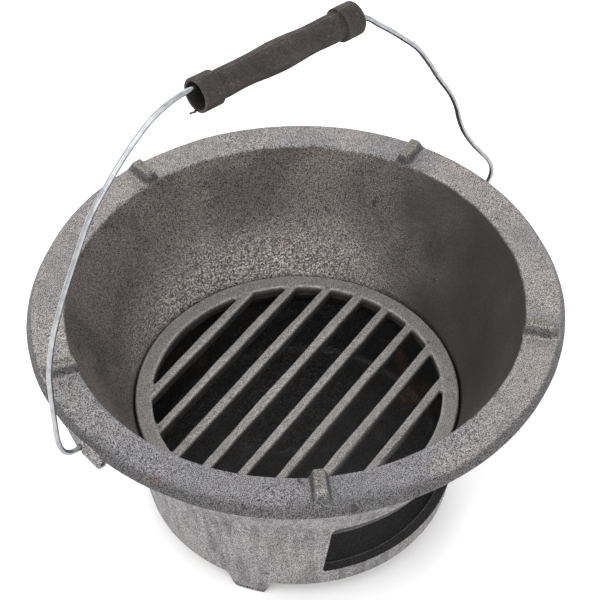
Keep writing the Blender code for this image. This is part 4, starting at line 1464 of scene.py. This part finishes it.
# ---- Finishes -----------------------------------------------------------------------------------
@dataclass(frozen=True)
class CastIronFinish:
    """Bare sand-cast iron: paler where it was ground or handled, darker in the fire bowl, with painted
    shade in the ash chamber, in the vent and on the pot rests' upright faces.
    """

    rim: Colour = (0.190, 0.176, 0.169)
    rim_cool: Colour = (0.100, 0.104, 0.120)
    rim_dull: Colour = (0.100, 0.094, 0.090)
    # Dark tone of the flange's outer edge. The same colour is the painted shade on the pot rests' upright
    # flanks and ends.
    side: Colour = (0.050, 0.048, 0.049)
    lug: Colour = (0.105, 0.100, 0.088)
    bowl: Colour = (0.108, 0.096, 0.090)
    bowl_dull: Colour = (0.070, 0.062, 0.058)
    bowl_smooth: Colour = (0.033, 0.030, 0.029)
    bowl_scaled: Colour = (0.262, 0.241, 0.231)
    outside: Colour = (0.206, 0.202, 0.205)
    outside_dull: Colour = (0.088, 0.086, 0.088)
    outside_warm: Colour = (0.212, 0.190, 0.184)
    # Painted shade: near-black colour for the ash chamber and the vent's cut faces, where shade falls.
    chamber: Colour = (0.015, 0.014, 0.014)
    pit: Colour = (0.020, 0.018, 0.017)
    worn: Colour = (0.360, 0.345, 0.332)
    rust: Colour = (0.150, 0.070, 0.040)
    metallic: float = 0.35
    grain: float = 0.00050

    def build(self, effects: Effects) -> bpy.types.Material:
        """Make the casting's material from its zones, mottle, grain, pits, wear, rust and painted shade."""
        material, graph, shader = new_material("cast_iron")
        place = graph.place()
        bowl, side, lug = graph.mark("bowl"), graph.mark("flange_side"), graph.mark("lug")
        outside, chamber, edge = graph.mark("outside"), graph.mark("chamber"), graph.mark("edge")
        sheltered, scaled = graph.mark("sheltered"), graph.mark("scaled")
        sand = graph.effect(effects.sand, {"Place": place, "Size": self.grain})
        scale = graph.effect(effects.sand, {"Place": place, "Size": 0.0012})
        mottle = graph.effect(effects.mottle, {"Place": place, "Size": 0.034})
        pits = graph.effect(effects.pits, {"Place": place, "Size": 0.0036, "Share": 0.13})
        holes = graph.effect(effects.pits, {"Place": place, "Size": 0.0095, "Share": 0.05})
        rust = graph.effect(effects.rust, {"Place": place, "Size": 0.050, "Amount": 0.40})
        runs = graph.effect(effects.runs, {"Place": place, "Size": 0.0050})
        cloud, blotch = mottle.outputs["Cloud"], mottle.outputs["Blotch"]

        ground = graph.mark("ground")
        colour = graph.tint(self.rim, cloud, 0.45, self.rim_cool)
        colour = graph.tint(colour, ground, 0.60, self.rim_cool)
        colour = graph.tint(colour, blotch, 0.30, self.rim_dull)
        wall = graph.tint(self.outside, runs.outputs["Run"], 0.80, self.outside_dull)
        wall = graph.tint(wall, cloud, 0.34, self.outside_warm)
        wall = graph.tint(wall, blotch, 0.25, self.outside_dull)
        colour = graph.blend(outside, colour, wall)
        # The flange edge's dark tone, and painted shade on the pot rests' upright faces.
        colour = graph.tint(colour, side, 0.90, self.side)
        low = graph.noise(place, 26.0, 3.0, 0.5)
        fire = graph.blend(graph.ease(low, 0.42, 0.66), self.bowl, self.bowl_dull)
        fire = graph.tint(fire, scaled, 0.85, self.bowl_scaled)
        fire = graph.tint(fire, sheltered, 0.85, self.bowl_smooth)
        colour = graph.blend(bowl, colour, fire)
        # Painted shade over the ash chamber and the vent's cut faces.
        colour = graph.blend(chamber, colour, self.chamber)
        colour = graph.tint(colour, lug, 0.9, self.lug)
        colour = graph.tint(colour, edge, 0.22, self.worn)
        colour = graph.tint(colour, rust.outputs["Rust"], 0.30, self.rust)
        calm = graph.product(graph.product(sheltered, bowl), 0.80)
        tone = graph.ease(sand.outputs["Tone"], 0.0, 1.0, 0.05, 2.10)
        rough_tone = graph.ease(scale.outputs["Tone"], 0.0, 1.0, 0.30, 1.75)
        tone = graph.product(tone, graph.sum(1.0, graph.product(scaled, graph.sum(rough_tone, -1.0))))
        tone = graph.sum(graph.product(tone, graph.rest(calm)), calm)
        colour = graph.shade(colour, tone)
        hole = graph.sum(graph.product(pits.outputs["Pit"], 0.60),
                         graph.product(holes.outputs["Pit"], 0.70))
        hole = graph.product(hole, graph.rest(calm))
        colour = graph.blend(hole, colour, self.pit)
        graph.feed(shader.inputs["Base Color"], colour)

        shader.inputs["Metallic"].default_value = self.metallic
        shader.inputs["Specular IOR Level"].default_value = 0.35
        rough = graph.ease(sand.outputs["Tone"], 0.0, 1.0, 0.72, 0.50)
        rough = graph.sum(rough, graph.product(calm, -0.12))
        graph.feed(shader.inputs["Roughness"], rough)

        coarse = graph.sum(graph.product(bowl, 1.10), graph.product(outside, 0.30))
        coarse = graph.sum(graph.sum(0.90, coarse), graph.product(calm, -2.20))
        height = graph.product(sand.outputs["Height"], coarse)
        height = graph.sum(height, graph.product(scale.outputs["Height"], graph.product(scaled, 3.2)))
        ripple = graph.noise(place, 260.0, 3.0)
        height = graph.sum(height, graph.product(ripple, 0.5))
        height = graph.sum(height, graph.product(hole, -1.0))
        bump = graph.add("ShaderNodeBump", {"Height": height, "Strength": 0.85, "Distance": 0.00042})
        graph.feed(shader.inputs["Normal"], bump.outputs["Normal"])
        return material


@dataclass(frozen=True)
class GrateFinish:
    """Cast iron of the loose grate: pale on its tops, with painted shade that darkens it to nearly black
    down its slots.
    """

    top: Colour = (0.180, 0.171, 0.165)
    top_dull: Colour = (0.140, 0.133, 0.128)
    # Tone of the bars' upper sides, painted lighter as if lit from above, where the painted shade down the
    # slots begins.
    flank: Colour = (0.140, 0.134, 0.129)
    # Painted shade: near-black colour down the slots.
    deep: Colour = (0.030, 0.028, 0.027)
    pit: Colour = (0.020, 0.018, 0.017)
    worn: Colour = (0.420, 0.405, 0.390)
    rust: Colour = (0.140, 0.078, 0.052)
    metallic: float = 0.35

    def build(self, effects: Effects) -> bpy.types.Material:
        """Make the grate's material."""
        material, graph, shader = new_material("grate_iron")
        place = graph.place()
        sand = graph.effect(effects.sand, {"Place": place, "Size": 0.00050})
        mottle = graph.effect(effects.mottle, {"Place": place, "Size": 0.034})
        pits = graph.effect(effects.pits, {"Place": place, "Size": 0.0050, "Share": 0.10})
        rust = graph.effect(effects.rust, {"Place": place, "Size": 0.050, "Amount": 0.30})
        upper = graph.tint(self.top, mottle.outputs["Blotch"], 0.6, self.top_dull)
        colour = graph.blend(graph.mark("top"), self.flank, upper)
        # Painted shade, darker with depth below the top.
        colour = graph.blend(graph.mark("deep"), colour, self.deep)
        colour = graph.blend(graph.product(graph.mark("edge"), 0.5), colour, self.worn)
        colour = graph.tint(colour, rust.outputs["Rust"], 0.35, self.rust)
        colour = graph.shade(colour, graph.ease(sand.outputs["Tone"], 0.0, 1.0, 0.35, 1.70))
        colour = graph.tint(colour, pits.outputs["Pit"], 0.6, self.pit)
        graph.feed(shader.inputs["Base Color"], colour)
        shader.inputs["Metallic"].default_value = self.metallic
        graph.feed(shader.inputs["Roughness"], graph.ease(sand.outputs["Tone"], 0.0, 1.0, 0.66, 0.46))
        height = graph.sum(graph.product(sand.outputs["Height"], 0.7),
                           graph.product(pits.outputs["Pit"], -0.7))
        bump = graph.add("ShaderNodeBump", {"Height": height, "Strength": 0.8, "Distance": 0.00036})
        graph.feed(shader.inputs["Normal"], bump.outputs["Normal"])
        return material


@dataclass(frozen=True)
class WireFinish:
    """Bright galvanised wire with drawing lines and dull patches."""

    bright: Colour = (0.370, 0.378, 0.392)
    dull: Colour = (0.205, 0.210, 0.222)
    metallic: float = 1.0

    def build(self, effects: Effects) -> bpy.types.Material:
        """Make the wire's material from its own lengthwise and round-the-wire marks."""
        material, graph, shader = new_material("galvanised_wire")
        run = graph.add("ShaderNodeCombineXYZ", {"X": graph.product(graph.mark("along"), 30.0),
                                                 "Y": graph.product(graph.mark("turn"), 3.0), "Z": 0.0})
        lines = graph.noise(run.outputs["Vector"], 2.6, 3.0)
        mottle = graph.effect(effects.mottle, {"Place": graph.place(), "Size": 0.016})
        colour = graph.tint(self.bright, mottle.outputs["Blotch"], 0.6, self.dull)
        colour = graph.blend(graph.ease(lines, 0.45, 0.75, 0.0, 0.4), colour, self.dull)
        graph.feed(shader.inputs["Base Color"], colour)
        shader.inputs["Metallic"].default_value = self.metallic
        graph.feed(shader.inputs["Roughness"], graph.ease(mottle.outputs["Cloud"], 0.0, 1.0, 0.20, 0.36))
        bump = graph.add("ShaderNodeBump", {"Height": lines, "Strength": 0.3, "Distance": 0.00005})
        graph.feed(shader.inputs["Normal"], bump.outputs["Normal"])
        return material


@dataclass(frozen=True)
class GripFinish:
    """Dark brown-grey moulding, matte, with pale specks, a brownish cast and rubbed edges; its bore is
    painted near black as shade.
    """

    body: Colour = (0.017, 0.013, 0.012)
    brown: Colour = (0.021, 0.015, 0.013)
    dark: Colour = (0.009, 0.0075, 0.007)
    speck: Colour = (0.170, 0.155, 0.145)
    rubbed: Colour = (0.085, 0.074, 0.068)
    # Painted shade: near-black colour inside the bore.
    bore: Colour = (0.003, 0.003, 0.003)

    def build(self, effects: Effects) -> bpy.types.Material:
        """Make the grip's material."""
        material, graph, shader = new_material("moulded_grip")
        place = graph.place()
        mottle = graph.effect(effects.mottle, {"Place": place, "Size": 0.022})
        specks = graph.effect(effects.pits, {"Place": place, "Size": 0.0012, "Share": 0.20})
        sand = graph.effect(effects.sand, {"Place": place, "Size": 0.0009})
        colour = graph.blend(mottle.outputs["Cloud"], self.body, self.brown)
        colour = graph.tint(colour, mottle.outputs["Blotch"], 0.35, self.dark)
        colour = graph.blend(graph.product(graph.mark("seam"), 0.35), colour, self.rubbed)
        colour = graph.blend(graph.product(graph.mark("edge"), 0.55), colour, self.rubbed)
        colour = graph.tint(colour, specks.outputs["Pit"], 0.30, self.speck)
        colour = graph.shade(colour, graph.ease(sand.outputs["Tone"], 0.0, 1.0, 0.55, 1.50))
        # Painted shade inside the bore.
        colour = graph.blend(graph.product(graph.mark("bore"), 0.9), colour, self.bore)
        graph.feed(shader.inputs["Base Color"], colour)
        shader.inputs["Specular IOR Level"].default_value = 0.32
        graph.feed(shader.inputs["Roughness"], graph.ease(mottle.outputs["Blotch"], 0.0, 1.0, 0.58, 0.70))
        height = graph.sum(graph.product(sand.outputs["Height"], 0.5), graph.noise(place, 260.0, 2.0))
        bump = graph.add("ShaderNodeBump", {"Height": height, "Strength": 0.55, "Distance": 0.00022})
        graph.feed(shader.inputs["Normal"], bump.outputs["Normal"])
        return material


def dress(item: bpy.types.Object, material: bpy.types.Material, body: Body,
          replaces: str | None = None) -> None:
    """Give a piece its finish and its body.

    Args:
        item: The piece.
        material: Its finish.
        body: What it rides on.
        replaces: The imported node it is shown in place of.
    """
    item.data.materials.clear()
    item.data.materials.append(material)
    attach(item, body.value)
    if replaces:
        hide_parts(replaces)
    triangles = sum(len(polygon.vertices) - 2 for polygon in item.data.polygons)
    LOG.info("%s: %d triangles, rides on %s", item.name, triangles, body.value)


# ---- Surroundings -------------------------------------------------------------------------------
@dataclass
class Studio:
    """Pale floor, soft white light from all round and three large lamps."""

    floor_half: float = 4.0
    floor_colour: Colour = (0.95, 0.95, 0.95)
    sky_strength: float = 1.30

    def floor(self) -> None:
        """Floor plane under the feet."""
        reach = self.floor_half
        points = reach * np.array([[-1.0, -1, 0], [1, -1, 0], [1, 1, 0], [-1, 1, 0]])
        item = new_object("floor", mesh_from_arrays("floor", points, np.array([[0, 1, 2, 3]])))
        material, _, shader = new_material("pale_floor")
        shader.inputs["Base Color"].default_value = (*self.floor_colour, 1.0)
        shader.inputs["Roughness"].default_value = 0.9
        shader.inputs["Specular IOR Level"].default_value = 0.1
        item.data.materials.append(material)

    def lamp(self, name: str, place: Point, size: float, watts: float) -> None:
        """Square lamp that faces the bowl.

        Args:
            name: The lamp's name.
            place: Where it hangs.
            size: Its side in metres.
            watts: Its power.
        """
        data = bpy.data.lights.new(name, "AREA")
        data.size = size
        data.energy = watts
        item = bpy.data.objects.new(name, data)
        bpy.context.scene.collection.objects.link(item)
        target = Vector((0.0, 0.0, 0.08))
        item.location = place
        item.rotation_euler = (target - Vector(place)).to_track_quat("-Z", "Y").to_euler()

    def sky(self) -> None:
        """Even white surroundings."""
        world = bpy.data.worlds.new("studio_sky")
        world.use_nodes = True
        background = world.node_tree.nodes["Background"]
        background.inputs["Color"].default_value = (1.0, 1.0, 1.0, 1.0)
        background.inputs["Strength"].default_value = self.sky_strength
        bpy.context.scene.world = world

    def build(self) -> None:
        """Set out floor, sky and lamps, and show colours plainly."""
        bpy.context.scene.view_settings.view_transform = "Standard"
        self.floor()
        self.sky()
        self.lamp("key", (-0.95, 0.10, 1.55), 1.3, 14.0)
        self.lamp("fill", (-0.55, -1.35, 0.80), 1.2, 9.0)
        self.lamp("back", (0.90, 1.10, 1.30), 1.3, 7.0)


@dataclass
class StudioCamera:
    """Long lens that looks down into the bowl over the vent's left side."""

    target: Point
    azimuth: float = math.radians(-40.7)
    elevation: float = math.radians(45.63)
    distance: float = 0.8581
    roll: float = math.radians(-1.14)
    lens: float = 102.82
    sensor: float = 36.0
    shift: tuple[float, float] = (0.0082, -0.0072)

    def build(self) -> None:
        """Make the camera.

        Its back axis points from the rim's middle to the lens, its right axis is level, and both
        image axes are then turned a little about the back axis.
        """
        a, e = self.azimuth, self.elevation
        back = Vector((math.sin(a) * math.cos(e), -math.cos(a) * math.cos(e), math.sin(e)))
        right = Vector((0.0, 0.0, 1.0)).cross(back).normalized()
        matrix = Matrix((right, back.cross(right), back)).transposed().to_4x4()
        matrix = matrix @ Matrix.Rotation(self.roll, 4, "Z")
        matrix.translation = Vector(self.target) + back * self.distance
        data = bpy.data.cameras.new("studio_camera")
        data.lens, data.sensor_width = self.lens, self.sensor
        data.shift_x, data.shift_y = self.shift
        item = bpy.data.objects.new("studio_camera", data)
        bpy.context.scene.collection.objects.link(item)
        item.matrix_world = matrix
        bpy.context.scene.camera = item


# ---- Assembly -----------------------------------------------------------------------------------
def mount_place(name: str) -> Vector:
    """Place of a named mount in the record."""
    return Vector(next(m["pos_m"] for m in frame["record"]["mounts"] if m["name"] == name))


def joint_named(name: str) -> dict:
    """A joint of the frame by its name."""
    return next(joint for joint in frame["joints"] if joint["name"] == name)


def main() -> None:
    """Build the stove, its finishes and its surroundings."""
    rim = mount_place("rim_face").z
    hinge = joint_named("bail_swing")["pos_m"][2]
    grip_joint = joint_named("grip_turn")
    grip_centre, grip_axis = np.array(grip_joint["pos_m"]), np.array(grip_joint["axis"])
    grip_axis = grip_axis / np.linalg.norm(grip_axis)
    grate_low, grate_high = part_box("fire_grate")

    StudioCamera((0.0, 0.0, rim)).build()
    Studio().build()
    effects = Effects()
    iron = CastIronFinish().build(effects)

    casting = StoveCasting(rim, mount_place("pot_rest").z)
    dress(casting.build(), iron, Body.STOVE, "stove_body")
    for name, turn in (("left_ear", math.pi), ("right_ear", 0.0)):
        ear = BailEar(name, turn, hinge, rim - casting.flange_thickness)
        dress(ear.build(), iron, Body.STOVE)
    grate = FireGrate(grate_high.z, (grate_high.x - grate_low.x) / 2.0)
    dress(grate.build(), GrateFinish().build(effects), Body.GRATE, "fire_grate")
    wire = BailWire(rim, hinge, grip_centre, grip_axis)
    dress(wire.build(), WireFinish().build(effects), Body.BAIL, "bail_wire")
    grip, moulding = MouldedGrip(grip_centre, grip_axis), GripFinish().build(effects)
    dress(grip.build(), moulding, Body.GRIP, "bail_grip")
    dress(grip.build_flash(), moulding, Body.GRIP)


if __name__ == "__main__":
    main()
